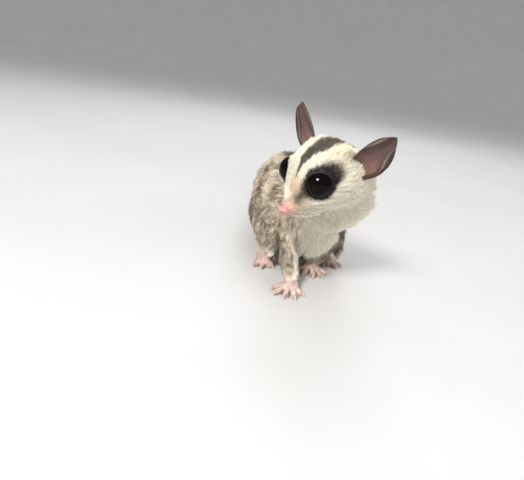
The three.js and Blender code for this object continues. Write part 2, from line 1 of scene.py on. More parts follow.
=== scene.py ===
"""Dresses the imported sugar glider: skin, coat, lids, eyes, ears, nose, lips, claws and whiskers.

Shapes are worked out in millimetres in the animal's own axes, body facing -Y and its left side +X, and
are moved into the frame, in metres, as each mesh is made."""

import math

import bmesh
import bpy
import numpy as np
from mathutils import Matrix, Vector
from mathutils.kdtree import KDTree


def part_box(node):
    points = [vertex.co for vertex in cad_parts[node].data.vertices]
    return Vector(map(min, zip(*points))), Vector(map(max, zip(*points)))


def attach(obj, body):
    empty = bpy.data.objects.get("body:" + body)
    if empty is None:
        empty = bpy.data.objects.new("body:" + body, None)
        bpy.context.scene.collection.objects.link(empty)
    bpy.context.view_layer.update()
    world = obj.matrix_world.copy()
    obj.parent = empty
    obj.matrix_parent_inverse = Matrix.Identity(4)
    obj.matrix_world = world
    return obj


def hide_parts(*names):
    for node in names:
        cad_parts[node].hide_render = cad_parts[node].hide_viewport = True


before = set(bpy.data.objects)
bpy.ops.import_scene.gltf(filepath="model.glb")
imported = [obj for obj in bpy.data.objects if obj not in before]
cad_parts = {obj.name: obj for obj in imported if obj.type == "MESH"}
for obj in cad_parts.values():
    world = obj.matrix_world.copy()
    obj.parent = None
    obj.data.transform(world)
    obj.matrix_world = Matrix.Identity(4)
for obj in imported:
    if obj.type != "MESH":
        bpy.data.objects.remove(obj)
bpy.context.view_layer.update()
MM = 0.001
SHIFT = np.array([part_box("thigh_right")[1].x / MM + 0.15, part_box("belly")[1].y / MM - 17, 0.0])
rng = np.random.default_rng(11)

# Sizes of the solids, as in the part's source. Rows of trunk, skull and jaw: y, middle, half width, top and
# bottom
TRUNK = [[-50, 2, 9.5, 35.5, 22], [-43, 2, 13.4, 38.5, 9.5], [-30, 1, 15.2, 41.5, 6],
         [-15, -0.5, 16, 44.5, 4], [0, -0.5, 16.4, 46, 2], [14, -0.5, 17, 45.5, -0.6],
         [26, -0.5, 16.4, 42, -0.6], [36, 0, 14.2, 36, 0.4], [44, 0, 11.4, 29, 1.4],
         [50, 0, 9.6, 23.6, 2.4], [55, 0, 8.4, 19.6, 3]]
SKULL = [[-17.6, 0, 2.4, -5.3, -9.2], [-16, 0, 3.4, -3.2, -9.9], [-14, 0, 4.9, -0.4, -10.5],
         [-11.5, 0, 7.7, 4.9, -11.2], [-9, 0, 10.4, 8.9, -11.8], [-5, 0, 12.8, 11.8, -12.4],
         [0, 0, 14.2, 13, -13], [5, 0, 15.4, 13.4, -14], [10, 0, 16, 12.4, -15],
         [15, 0, 15.6, 9.4, -16.4], [19, 0, 13, 5.4, -14.6], [21.5, 0, 9, 1, -10.5]]
JAW = [[-15.4, 0, 1.4, -9.4, -11.2], [-14, 0, 2.4, -8.6, -12], [-11, 0, 3.8, -8, -13],
       [-7, 0, 5.6, -7.6, -13.8], [-2, 0, 7, -7.4, -14]]
HEAD_PLACE = np.array([-4.7, -56.6, 47.8])
HEAD_YAW, HEAD_PITCH, HEAD_TILT = -60, 18.6, 7.2
MOUTH_LINE = [[-15.6, -9.3], [-13, -9.9], [-10.5, -10], [-8.2, -9.2]]
EYE_RADIUS, EYE_OPENING = 5.0, 4.5
EYE_PLACE = np.array([7.1, -7.2, 2.6])
EYE_GAZE = np.array([0.66, -0.7, 0.22])
OPENING_DEPTH = math.sqrt(EYE_RADIUS ** 2 - EYE_OPENING ** 2)
ORBIT_RADIUS = EYE_RADIUS + 0.35
NOSE_PLACE = np.array([0, -18, -7.4])
NOSE_HALF = np.array([2.3, 1.6, 1.7])
EAR_ROOT = np.array([8.7, 6.5, 2])
EAR_TIP = np.array([22.9, 11.6, 18.9])
EAR_FACING = {1: np.array([0.42, -0.9, 0.15]), -1: np.array([-0.16, -0.96, 0.15])}
EAR_HALF_WIDTH, EAR_WIDEST, EAR_ROOT_SHARE, EAR_CUP, EAR_LEAN, EAR_BOW = 5.4, 0.5, 0.4, 3.0, 0.6, 1.0
NECK_PATH = [[0.5, -26, 30], [1.8, -35, 31], [6, -43.5, 34.5], [17.5, -54, 40.5]]
NECK_RADII = [13, 13, 12.6, 11]
# For each limb its upper joints, its end on the floor, and the paw's turn
ARMS = {"right": ([[-7.5, -35, 30], [-10, -45, 17]], [-7, -52.6, 2.6], -26),
        "left": ([[11, -36, 28], [13.5, -32, 14]], [6.5, -30, 2.6], -5)}
LEGS = {"right": ([[-7, 20, 20], [-9.2, 4, 19], [-12.6, -27.5, 14.5]], [-14, -20, 2.8], -4),
        "left": ([[6.5, 20, 20], [8.4, 4, 19], [12.6, -22, 14.5]], [15.5, -13, 2.8], 6)}
ARM_RADII, LEG_RADII = ([6.8, 4.8], 3), ([8, 11.4, 6], 3.2)
BEND_OVERLAP, BEND_PAST = 3, 2.5
# Length, half width and height of a palm, and each digit's angle, reach, root and whether it has a claw
HAND = {"palm": (6.8, 3.9, 4.1), "claw": 2.0,
        "digits": [(55, 6, 2.6, True), (27, 7.6, 4.6, True), (2, 8.2, 5, True), (-22, 7.8, 4.8, True),
                   (-48, 6.6, 3.4, True)]}
FOOT = {"palm": (13.5, 3.7, 4.3), "claw": 2.2,
        "digits": [(66, 5.8, 7.4, False), (17, 6.2, 10.6, True), (6, 6.6, 10.9, True),
                   (-9, 8.8, 10.8, True), (-26, 7.6, 10, True)]}
DIGIT_RADIUS = 1.15
FOLD_FROM, FOLD_TO, FOLD_TOP, FOLD_HEM, FOLD_ROOTED = -38, -9, (27, 18), (6.5, 12), 2
FOLD_REACH, FOLD_WAVE, FOLD_WAVES, FOLD_THICKNESS = 2.2, 0.8, 2.5, 2.2
TAIL_PATH = [[0, 45, 17], [0, 53, 12], [1, 64, 8.6], [5, 86, 8.3], [13, 110, 8.3], [25, 134, 8.2],
             [40, 156, 7.4], [57, 176, 5.8]]
TAIL_FLESH = [[0, 6.8, 6.2], [0.1, 6, 5.5], [0.2, 4.7, 4.3], [0.32, 3.9, 3.4], [0.6, 3.4, 3],
              [0.9, 2.2, 2], [1, 1.4, 1.4]]
SIDES = {"left": 1, "right": -1}

# Camera, as fitted to the eyes, ears, nose and paws in the photo
CAMERA_PLACE = np.array([-54.7, -223.7, 80.0])
CAMERA_YAW, CAMERA_PITCH, CAMERA_ROLL = np.radians([-11, 20, 8.6])
FOCAL_PIXELS, PICTURE_WIDTH, PICTURE_HEIGHT, CENTRE_ROW, SENSOR = 470, 524, 480, 247, 36

FAR = 99.0
AROUND = 2 * np.pi


# Numbers

def size(vectors):
    return np.linalg.norm(vectors, axis=-1)


def unit(vectors):
    vectors = np.asarray(vectors, float)
    return vectors / np.maximum(size(vectors)[..., None], 1e-9)


def smooth(value, low, high):
    """0 below low, 1 above high, and an even step between them."""
    t = np.clip((value - low) / (high - low), 0, 1)
    return t * t * (3 - 2 * t)


def mix(a, b, share):
    """a where share is 0 and b where it is 1, for one share or one for each point."""
    share = np.asarray(share, float)
    return a + (b - a) * (share[:, None] if share.ndim == 1 else share)


def bell(value, width):
    return np.exp(-(value / width) ** 2)


def colour(*seen):
    """A colour as seen on a screen, in the linear values that Blender keeps."""
    seen = np.array(seen, float)
    return np.where(seen <= 0.04045, seen / 12.92, ((seen + 0.055) / 1.055) ** 2.4)


def noise(points, scale, seed=0):
    """A smooth random value from -1 to 1 that changes over about scale."""
    at = points / scale + 31.7 * seed + 500
    cell = np.floor(at).astype(np.int64)
    part = at - cell
    part = part * part * (3 - 2 * part)
    total = np.zeros(len(points))
    for corner in np.ndindex(2, 2, 2):
        x, y, z = (cell + np.array(corner)).T
        mixed = (x * 73856093) ^ (y * 19349663) ^ (z * 83492791)
        value = ((mixed * 2654435761) % 16777213) / 8388606.5 - 1
        total += value * np.prod(np.where(np.array(corner) > 0, part, 1 - part), axis=1)
    return total


def cubic(rows, at):
    """Rows of a place and values, read between the rows as the source does."""
    rows = np.asarray(rows, float)
    t, values = rows[:, 0], rows[:, 1:]
    at = np.clip(at, t[0], t[-1])
    i = np.clip(np.searchsorted(t, at, side="right") - 1, 0, len(t) - 2)
    before = np.where(i > 0, i - 1, i + 1)
    after = np.where(i + 2 < len(t), i + 2, i)
    half = (t[i + 1] - t[i]) / 2
    wp, wn = half / (t[i] - t[before]), half / (t[after] - t[i + 1])
    p = (at - t[i]) / (t[i + 1] - t[i])
    shares = ((before, -wp * p ** 3 + 2 * wp * p ** 2 - wp * p),
              (i, (1 + wp) * p ** 3 - (1.5 + 2 * wp) * p ** 2 + (wp - 0.5) * p + 1),
              (i + 1, (-1 - wn) * p ** 3 + (1.5 + wn) * p ** 2 + 0.5 * p),
              (after, wn * p ** 3 - wn * p ** 2))
    return sum(values[row] * share[..., None] for row, share in shares)


def curve_points(points, count):
    """Points at even distances along a smooth curve through the given ones."""
    points = np.asarray(points, float)
    full = np.vstack([2 * points[0] - points[1], points, 2 * points[-1] - points[-2]])
    out = []
    for k in range(1, len(full) - 2):
        p0, p1, p2, p3 = full[k - 1:k + 3]
        d0, d1, d2 = (np.linalg.norm(b - a) ** 0.5 for a, b in ((p0, p1), (p1, p2), (p2, p3)))
        m1 = ((p1 - p0) / d0 - (p2 - p0) / (d0 + d1) + (p2 - p1) / d1) * d1
        m2 = ((p2 - p1) / d1 - (p3 - p1) / (d1 + d2) + (p3 - p2) / d2) * d1
        t = np.linspace(0, 1, 60, endpoint=k == len(full) - 3)[:, None]
        out.append(p1 + m1 * t + (3 * (p2 - p1) - 2 * m1 - m2) * t ** 2
                   + (2 * (p1 - p2) + m1 + m2) * t ** 3)
    dense = np.vstack(out)
    run = np.concatenate([[0], np.cumsum(size(np.diff(dense, axis=0)))])
    at = np.linspace(0, run[-1], count)
    return np.stack([np.interp(at, run, axis) for axis in dense.T], -1)


def line_distance(points, line):
    """The least distance from each point to a curve through the given places."""
    return np.min([size(points - q[:points.shape[1]]) for q in curve_points(line, 60)], axis=0)


def fullness(share, caps):
    """How full a form with rounded ends is at a share of its length."""
    start, end = np.clip(share / caps[0], 0, 1), np.clip((1 - share) / caps[1], 0, 1)
    return np.sqrt(1 - (1 - start) ** 2) * np.sqrt(1 - (1 - end) ** 2)


def turn_matrix(yaw, pitch=0, tilt=0):
    """Tilt about y, then pitch about x, then yaw about z, in degrees."""
    yaw, pitch, tilt = (Matrix.Rotation(math.radians(angle), 3, axis)
                        for angle, axis in ((yaw, "Z"), (pitch, "X"), (tilt, "Y")))
    return np.array(yaw @ pitch @ tilt)


HEAD_TURN = turn_matrix(HEAD_YAW, HEAD_PITCH, HEAD_TILT)


def from_head(points):
    return np.asarray(points, float) @ HEAD_TURN.T + HEAD_PLACE


def to_head(points):
    return (points - HEAD_PLACE) @ HEAD_TURN


def tree_of(points):
    tree = KDTree(len(points))
    for i, point in enumerate(points):
        tree.insert(point, i)
    tree.balance()
    return tree


# Meshes

def closed_tube(rings):
    """Points and faces of a closed form from rings of points, whose first and last are single points."""
    count, sides = rings.shape[:2]
    points = np.vstack([rings[0, :1], rings[1:-1].reshape(-1, 3), rings[-1, :1]])
    last = len(points) - 1
    index = 1 + np.arange((count - 2) * sides).reshape(count - 2, sides)
    after = np.roll(index, -1, axis=1)
    faces = [[0, a, b] for a, b in zip(index[0], after[0])]
    faces += np.stack([index[:-1], index[1:], after[1:], after[:-1]], -1).reshape(-1, 4).tolist()
    faces += [[last, b, a] for a, b in zip(index[-1], after[-1])]
    return points, faces


def sheet(outer, inner):
    """A closed form from two grids of points that face each other."""
    rings = np.concatenate([outer, inner[:, ::-1]], axis=1)
    first, last = (np.repeat(end.mean(1, keepdims=True), rings.shape[1], 1)
                   for end in (rings[:1], rings[-1:]))
    return closed_tube(np.concatenate([first, rings, last]))


def ball(radius, middle, sides=48, rings=32):
    polar = np.linspace(0, np.pi, rings + 1)[:, None]
    around = np.linspace(0, AROUND, sides, endpoint=False)[None]
    rings = [np.sin(polar) * np.cos(around), np.cos(polar) + 0 * around, np.sin(polar) * np.sin(around)]
    return closed_tube(np.stack(rings, -1) * radius + np.asarray(middle))


def tube(line, radii, sides=10, seed=(0, 0, 1)):
    """A closed tube along a line with a radius at each point."""
    tangent = unit(np.gradient(line, axis=0))
    sideways = unit(np.cross(tangent, seed))
    upwards = np.cross(sideways, tangent)
    around = np.linspace(0, AROUND, sides, endpoint=False)[None, :, None]
    rings = line[:, None] + np.asarray(radii, float)[:, None, None] * (
        sideways[:, None] * np.cos(around) + upwards[:, None] * np.sin(around))
    first, last = np.repeat(line[:1, None], sides, 1), np.repeat(line[-1:, None], sides, 1)
    return closed_tube(np.concatenate([first, rings, last]))


def join(parts):
    """One list of points and faces from several."""
    points, faces, start = [], [], 0
    for p, f in parts:
        points.append(p)
        faces += [[i + start for i in face] for face in f]
        start += len(p)
    return np.vstack(points), faces


def in_frame(points):
    return (np.asarray(points, float) + SHIFT) * MM


def make_mesh(name, points, faces, sizes=None):
    """A mesh object from points in metres and faces, as lists or as one row of corners with their sizes."""
    mesh = bpy.data.meshes.new(name)
    if sizes is None:
        sizes, faces = np.array([len(face) for face in faces]), np.concatenate(faces)
    mesh.vertices.add(len(points))
    mesh.vertices.foreach_set("co", np.asarray(points, np.float32).ravel())
    mesh.loops.add(len(faces))
    mesh.loops.foreach_set("vertex_index", np.asarray(faces, np.int32))
    mesh.polygons.add(len(sizes))
    starts = np.concatenate([[0], np.cumsum(sizes)[:-1]]).astype(np.int32)
    mesh.polygons.foreach_set("loop_start", starts)
    mesh.update(calc_edges=True)
    mesh.polygons.foreach_set("use_smooth", np.ones(len(sizes), bool))
    piece = bpy.data.objects.new(name, mesh)
    bpy.context.scene.collection.objects.link(piece)
    return piece


def outward(piece):
    """Turns the faces of a closed piece outward."""
    bm = bmesh.new()
    bm.from_mesh(piece.data)
    bmesh.ops.recalc_face_normals(bm, faces=bm.faces)
    bm.to_mesh(piece.data)
    bm.free()
    return piece


def read_all(source, what, width, kind=np.float32):
    out = np.empty(len(source) * width, kind)
    source.foreach_get(what, out)
    return out.reshape(-1, width).astype(float if kind == np.float32 else np.int64)


def set_colours(piece, colours):
    full = np.ones((len(colours), 4), np.float32)
    full[:, :3] = np.clip(colours, 0, 1)
    tint = piece.data.color_attributes.new("tint", "FLOAT_COLOR", "POINT")
    tint.data.foreach_set("color", full.ravel())


def dress(piece, material, replaced=()):
    piece.data.materials.append(material)
    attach(piece, "root")
    if replaced:
        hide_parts(*replaced)


def solid(name, form, tint, material, replaced=(), head=True):
    """A closed piece from points and faces, in the head's axes or the animal's."""
    points, faces = form
    piece = outward(make_mesh(name, in_frame(from_head(points) if head else points), faces))
    if tint is not None:
        set_colours(piece, np.broadcast_to(tint, points.shape))
    dress(piece, material, replaced)


# Forms that the skin is joined from. Each gives its closed surface, and for any point its share along the
# form, the angle round it, the distance from the surface and, for a limb or fold, the way along it.

def spans(sides, rings):
    """Shares along a form, closer at its ends, and angles round it."""
    share = (1 - np.cos(np.linspace(0, np.pi, rings + 1))) / 2
    return share, np.linspace(0, AROUND, sides, endpoint=False)


def round_reading(x, z, across, up, beyond):
    """The angle of points round an oval and their distance from it, with how far they are past its end."""
    reach = np.hypot(x / across, z / up)
    past = (reach - 1) * (np.hypot(x, z) / np.maximum(reach, 1e-6))
    return np.arctan2(z / up, x / across), np.hypot(np.maximum(past, 0), beyond) + np.minimum(past, 0)


class Mass:
    """A form of rows along y, drawn in by an inset below the coat."""

    def __init__(self, region, rows, caps, inset, head=False):
        self.region, self.rows, self.caps, self.head = region, np.asarray(rows, float), caps, head
        place = self.rows[:, 0].copy()
        depth = np.interp(place, *inset)
        self.rows[:, 2:] += depth[:, None] * [-1, -1, 1]
        self.start = place[0] + depth[0]
        self.length = place[-1] - depth[-1] - self.start
        self.rows[:, 0] = self.start + (place - place[0]) / (place[-1] - place[0]) * self.length

    def surface(self, sides, rings):
        share, around = spans(sides, rings)
        y = self.start + share * self.length
        middle, half, top, bottom = cubic(self.rows, y).T[..., None]
        full = fullness(share, self.caps)[:, None]
        x = middle + half * full * np.cos(around)
        z = (top + bottom) / 2 + (top - bottom) / 2 * full * np.sin(around)
        points, faces = closed_tube(np.stack([x, np.broadcast_to(y[:, None], x.shape), z], -1))
        return (from_head(points) if self.head else points), faces

    def read(self, points):
        p = to_head(points) if self.head else points
        y = np.clip(p[:, 1], self.start, self.start + self.length)
        share = (y - self.start) / self.length
        middle, half, top, bottom = cubic(self.rows, y).T
        full = np.maximum(fullness(share, self.caps), 0.05)
        return share, *round_reading(p[:, 0] - middle, p[:, 2] - (top + bottom) / 2, half * full,
                                     (top - bottom) / 2 * full, np.abs(p[:, 1] - y)), None


class Limb:
    """A form along a curve, with its half width and half height at shares of its length."""

    def __init__(self, region, path, girth, inset=0.0, across=(1, 0, 0), caps=(0.15, 0.15), count=48):
        self.region, self.caps = region, caps
        self.line = curve_points(path, count)
        self.share = np.linspace(0, 1, count)
        self.tangent = unit(np.gradient(self.line, axis=0))
        side = np.asarray(across, float)
        self.sideways = unit(side - self.tangent * (self.tangent @ side)[:, None])
        self.upwards = np.cross(self.sideways, self.tangent)
        self.half = np.maximum(cubic(girth, self.share) - np.asarray(inset), 0.2)
        self.full = fullness(self.share, caps)

    def surface(self, sides, rings):
        share, around = spans(sides, rings)
        around = around[None, :, None]
        line, sideways, upwards, half = (
            np.stack([np.interp(share, self.share, column) for column in values.T], -1)[:, None]
            for values in (self.line, self.sideways, self.upwards, self.half))
        return closed_tube(line + fullness(share, self.caps)[:, None, None] * (
            sideways * half[..., :1] * np.cos(around) + upwards * half[..., 1:] * np.sin(around)))

    def read(self, points):
        share, around, distance = np.zeros(len(points)), np.zeros(len(points)), np.full(len(points), FAR)
        along = np.broadcast_to(self.tangent[0], points.shape).copy()
        room = self.half.max() + 9
        close = (points > self.line.min(0) - room) & (points < self.line.max(0) + room)
        close = np.flatnonzero(close.all(1))
        for k in range(0, len(close), 20000):
            at = close[k:k + 20000]
            p = points[at]
            near = np.argmin(((p[:, None] - self.line[None]) ** 2).sum(-1), axis=1)
            away = p - self.line[near]
            slide = (away * self.tangent[near]).sum(-1)
            flat = away - self.tangent[near] * slide[:, None]
            across, up = (self.half[near] * np.maximum(self.full[near], 0.15)[:, None]).T
            beyond = np.where((near == 0) | (near == len(self.line) - 1), np.abs(slide), 0)
            around[at], distance[at] = round_reading((flat * self.sideways[near]).sum(-1),
                                                     (flat * self.upwards[near]).sum(-1), across, up, beyond)
            share[at], along[at] = self.share[near], self.tangent[near]
        return share, around, distance, along


class Fold:
    """The gathered gliding membrane of one side."""

    def __init__(self, side):
        self.region, self.side = "membrane", side
        self.u, self.v = np.meshgrid(np.linspace(0.02, 0.98, 70), np.linspace(0.03, 1, 26), indexing="ij")
        self.tree = tree_of(self.at(self.u, self.v, 0).reshape(-1, 3))

    def at(self, u, v, face):
        """Points at shares from front to back and hem to root, on the outer face, 1, or the inner, -1."""
        y = FOLD_FROM + (FOLD_TO - FOLD_FROM) * u
        hang = 1 - v
        middle, half = np.moveaxis(cubic(TRUNK, y)[..., :2], -1, 0)
        full = np.sqrt(np.sin(u * np.pi))
        wave = FOLD_WAVE * hang ** 1.5 * full * np.sin(u * FOLD_WAVES * AROUND)
        reach = (FOLD_ROOTED + FOLD_REACH * full) * np.sin(np.minimum(hang * 3, 1) * np.pi / 2)
        out = half - FOLD_ROOTED + reach + wave - 0.6
        top, hem = (start + (end - start) * u ** 2 for start, end in (FOLD_TOP, FOLD_HEM))
        edge = np.sqrt(np.clip(v / 0.08, 0, 1)) * np.clip(full * 1.6, 0, 1)
        thickness = (FOLD_THICKNESS - 0.9) * (1 - 0.3 * hang) * edge
        z = top + (hem + 0.8 - top) * hang
        return np.stack([middle + self.side * (out + face * thickness / 2), y, z], -1)

    def surface(self, sides, rings):
        u, v = np.meshgrid(np.linspace(0.02, 0.98, 70), np.linspace(0, 1, 40), indexing="ij")
        return sheet(self.at(u, v, 1), self.at(u, v, -1))

    def read(self, points):
        share, around, distance = np.zeros(len(points)), np.zeros(len(points)), np.full(len(points), FAR)
        x, y, z = points.T
        near = (np.sign(x) == self.side) & (np.abs(x) > 11) & (z < 30)
        for i in np.flatnonzero(near & (y > FOLD_FROM - 3) & (y < FOLD_TO + 3)):
            _, k, gap = self.tree.find(points[i])
            share[i], around[i], distance[i] = self.u.ravel()[k], self.v.ravel()[k] * 6 - 3, gap - 0.55
        return share, around, distance, unit(np.broadcast_to([0.0, 0.8, -0.6], points.shape))


def paw_forms(side, shape, place, turn):
    """The palm and digits of a paw, and its claws."""
    length, half_width, height = shape["palm"]
    matrix = turn_matrix(turn)
    put = lambda points: np.asarray(points, float) @ matrix.T + [place[0], place[1], 0]
    sole = [[0, -share * length, height * (0.52 - 0.14 * share)] for share in (-0.12, 0.35, 0.7, 1)]
    girth = [[0, half_width * 0.75, height * 0.55], [0.6, half_width, height * 0.5],
             [1, half_width * 0.9, height * 0.36]]
    bodies, points = [Limb("paw", put(sole), girth, 0.3, matrix @ [1, 0, 0], (0.2, 0.25))], []
    thickness = np.array([[1, 1], [0.82, 0.85], [0.92, 0.9], [0.74, 0.8], [1.02, 0.92], [0.8, 0.8]])
    digit_girth = np.column_stack([[0, 0.3, 0.45, 0.62, 0.88, 1], DIGIT_RADIUS * thickness])
    claw_girth = [[0, 0.3, 0.36], [0.5, 0.3, 0.4], [0.8, 0.17, 0.26], [1, 0.04, 0.06]]
    for angle, reach, root, clawed in shape["digits"]:
        sine, cosine = math.sin(math.radians(angle)), math.cos(math.radians(angle))
        path = lambda *places: put([[-side * sine * (r + root * 0.35),
                                     -cosine * r - root * (1 - 0.35 * cosine), z] for r, z in places])
        across = matrix @ [cosine, -side * sine, 0]
        line = path((-1.5, 1.6), (reach * 0.4, 1.95), (reach * 0.8, 1.15), (reach - 0.1, 0.85))
        bodies.append(Limb("paw", line, digit_girth, 0.1, across, (0.2, 0.14), 24))
        if clawed:
            claw = shape["claw"]
            line = path((reach - 1.3, 1.2), (reach - 0.2, 1.55), (reach + claw * 0.5, 1.35),
                        (reach + claw * 0.9, 0.3))
            points.append(Limb("claw", line, claw_girth, 0, across, (0.1, 0.06), 24))
    return bodies, points


HEAD_INSET = [[-17.6, -14, -10, -5, 0, 8, 21.5], [0.3, 0.45, 0.75, 1.2, 1.6, 2, 2.4]]
forms = [
    Mass("trunk", TRUNK, (0.1, 0.05), [[-50, 40, 55], [3.2, 3.6, 2.4]]),
    Mass("head", SKULL, (0.06, 0.16), HEAD_INSET, True),
    Mass("head", JAW, (0.14, 0.3), [[-15.4, -2], [0.35, 0.8]], True),
    Limb("neck", NECK_PATH, [[i / 3, r, r] for i, r in enumerate(NECK_RADII)], 2.7, caps=(0.3, 0.45)),
    Limb("tail", TAIL_PATH, TAIL_FLESH, 0, caps=(0.02, 0.12), count=160),
    Fold(1),
    Fold(-1),
]
SKULL_FORM, TAIL_FORM = forms[1], forms[4]
claws = []


def add_limb(names, side, joints, radii, paw, insets):
    upper, end, turn = joints
    middle, (upper_radii, end_radius) = np.array(upper[-1], float), radii
    upwards = unit(np.array(upper[-2]) - middle)
    back = middle + unit(upwards + unit(middle - end)) * BEND_OVERLAP
    girth = [[i / (len(upper_radii) - 1), r, r] for i, r in enumerate(upper_radii)]
    forms.append(Limb(names[0], [*upper[:-1], middle - upwards * BEND_PAST], girth, insets[0],
                      caps=(0.25, 0.25)))
    bend = upper_radii[-1]
    girth = [[i, r, r] for i, r in ((0, bend * 0.8), (0.5, bend * 0.86), (1, end_radius))]
    forms.append(Limb(names[1], [back, middle, end], girth, np.linspace(insets[1], insets[2], 48)[:, None],
                      caps=(0.3, 0.06)))
    bodies, points = paw_forms(SIDES[side], paw, end, turn)
    forms.extend(bodies)
    claws.extend(points)


for name in SIDES:
    add_limb(("arm", "forearm"), name, ARMS[name], ARM_RADII, HAND, (2.2, 1.3, 0.6))
    add_limb(("thigh", "shank"), name, LEGS[name], LEG_RADII, FOOT, (3.0, 1.6, 0.8))

REGIONS = ["head", "neck", "trunk", "arm", "forearm", "thigh", "shank", "paw", "membrane", "tail"]


def region(weights, name):
    return weights[:, REGIONS.index(name)]


def eye_frame(side):
    """In the head's axes: an eye's middle, its gaze, the way to its front corner, and up across the gaze."""
    flip = np.array([side, 1, 1])
    gaze = unit(EYE_GAZE * flip)
    corner, rise = np.array([0, -1, -0.28]), np.array([0, 0, 1.0])
    corner = unit(corner - gaze * (corner @ gaze))
    rise -= gaze * (rise @ gaze)
    return EYE_PLACE * flip, gaze, corner, unit(rise - corner * (rise @ corner))


# Skin: the forms joined into one surface

# The voxel size in millimetres, and the rounds of smoothing all over, in the creases and at the throat
VOXEL, ALL_ROUNDS, CREASE_ROUNDS, THROAT_ROUNDS = ((0.45, 20, 110, 240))
SIDES_AND_RINGS = {"paw": (16, 20), **dict.fromkeys(("trunk", "head", "tail", "thigh", "neck"), (64, 90))}


def laplace(values, edges, rounds, weight=1.0, steps=(0.6, 0.6)):
    """Moves each vertex's value towards its neighbours' mean, by odd and even steps."""
    ends, others = edges.T.ravel(), edges[:, ::-1].T.ravel()
    number = np.maximum(np.bincount(ends, minlength=len(values)), 1)[:, None]
    for k in range(rounds):
        total = np.stack([np.bincount(ends, column[others], len(values)) for column in values.T], -1)
        values = values + (total / number - values) * weight * steps[k % 2]
    return values


def build_skin():
    parts = [form.surface(*SIDES_AND_RINGS.get(form.region, (32, 40))) for form in forms]
    for side in (1, -1):
        points, faces = ball(ORBIT_RADIUS, eye_frame(side)[0])
        parts.append((from_head(points), faces))
    piece = outward(make_mesh("skin", *join(parts)))
    mesh = piece.data
    mesh.remesh_voxel_size = VOXEL
    mesh.remesh_voxel_adaptivity = 0
    bpy.context.view_layer.objects.active = piece
    piece.select_set(True)
    bpy.ops.object.voxel_remesh()
    mesh = piece.data
    points = read_all(mesh.vertices, "co", 3)
    edges = read_all(mesh.edges, "vertices", 2, np.int32)
    # the creases where two forms meet are filled, and the cheek runs on into the throat
    gaps = {}
    for form in forms:
        depth = np.abs(form.read(points)[2])
        gaps[form.region] = np.minimum(gaps.get(form.region, depth), depth)
    free = smooth(gaps.pop("paw"), 0.5, 2.5)
    crease = free * (1 - smooth(np.sort(list(gaps.values()), axis=0)[1], 1.5, 5.5))
    throat = free * (1 - smooth(np.maximum(gaps["head"], gaps["neck"]), 3, 8))
    points = laplace(points, edges, 8, steps=(0.5, -0.52))
    for rounds, weight in ((ALL_ROUNDS, free * 0.5), (CREASE_ROUNDS, crease), (THROAT_ROUNDS, throat)):
        points = laplace(points, edges, rounds, weight[:, None])
    # under each eye's opening the skin draws back to a socket
    local = to_head(points)
    for side in (1, -1):
        middle, gaze, *_ = eye_frame(side)
        away = local - middle
        depth = away @ gaze
        inside = (size(away) < ORBIT_RADIUS + 1.2) & (depth > OPENING_DEPTH - 0.9)
        wanted = ORBIT_RADIUS + (EYE_RADIUS - 0.4 - ORBIT_RADIUS) * smooth(depth - OPENING_DEPTH, -0.25, 0.25)
        pull = smooth(depth - OPENING_DEPTH, -0.9, -0.3) * inside
        local = local + (unit(away) * wanted[:, None] + middle - local) * pull[:, None]
    points = from_head(local)
    points[:, 2] = np.maximum(points[:, 2], 0.15)
    mesh.vertices.foreach_set("co", in_frame(points).astype(np.float32).ravel())
    mesh.update()
    return piece, points, edges


skin, P, skin_edges = build_skin()
N = read_all(skin.data.vertex_normals, "vector", 3)
# every form's reading of every vertex, and how much each vertex belongs to each form and region
readings = [form.read(P) for form in forms]
depths = np.stack([reading[2] for reading in readings], 1)
nearness = np.exp(depths.min(1, keepdims=True) - depths)
W = np.stack([sum(near for near, form in zip(nearness.T, forms) if form.region == name)
              for name in REGIONS], 1)
W /= W.sum(1, keepdims=True)


# Markings, the same on skin and coat

CREAM = colour(0.95, 0.92, 0.84)
BUFF = colour(0.80, 0.69, 0.54)
GREY = colour(0.54, 0.48, 0.42)
PALE_GREY = colour(0.86, 0.80, 0.71)
DARK = colour(0.22, 0.185, 0.155)
BROWN = colour(0.27, 0.20, 0.165)
STRIPE = colour(0.17, 0.145, 0.125)
BLACK = colour(0.07, 0.055, 0.05)
PINK = colour(0.88, 0.69, 0.65)
NOSE_PINK = colour(0.80, 0.56, 0.55)
PAW_WHITE = colour(0.94, 0.87, 0.82)
TAIL_TIP = colour(0.13, 0.11, 0.10)
# The dark stripe's way from the crown over the nape to the back, and the way that the nape faces
NAPE_LINE = [*from_head([[0, 11, 12.5], [0, 17, 8.5], [0, 21, 3]]),
             [9.5, -37, 46], [4, -29, 44], [0, -18, 44.5]]
NAPE_WAY = unit([0.55, 0.8, 0.25])
# Width of an eye's dark ring at an angle from its front corner, up and over, in degrees
EYE_RING = np.transpose([[-180, 5.6], [-165, 4.4], [-144, 1.5], [-120, 1.0], [-50, 1.2], [-12, 2.3],
                         [20, 1.9], [62, 1.0], [100, 1.2], [120, 1.8], [149, 4.4], [170, 6.0], [180, 5.6]])
# In the head's axes: where the fur stands up before each ear and over each eye, the dark patch at each ear,
# and the white edge of the bridge before the right eye
CREST, BROW, EAR_PATCH = np.array([[6.5, 3, 12.5], [4.9, -9.6, 8.5], [10.1, 6.1, 9.8]])
BRIDGE_EDGE = [[-6.4, -8.2, 7.2], [-5, -10.4, 5.1], [-4.2, -12.2, 1.7],
               [-3.2, -13.8, -1.2], [-2.1, -15.1, -2.6]]


def eye_distance(local, side):
    """Distance from the rim of an eye's opening, roughly, and how far forward, up and out of its plane."""
    middle, gaze, corner, rise = eye_frame(side)
    away = local - (middle + gaze * OPENING_DEPTH)
    return size(away) - EYE_OPENING, away, away @ corner, away @ rise, away @ gaze


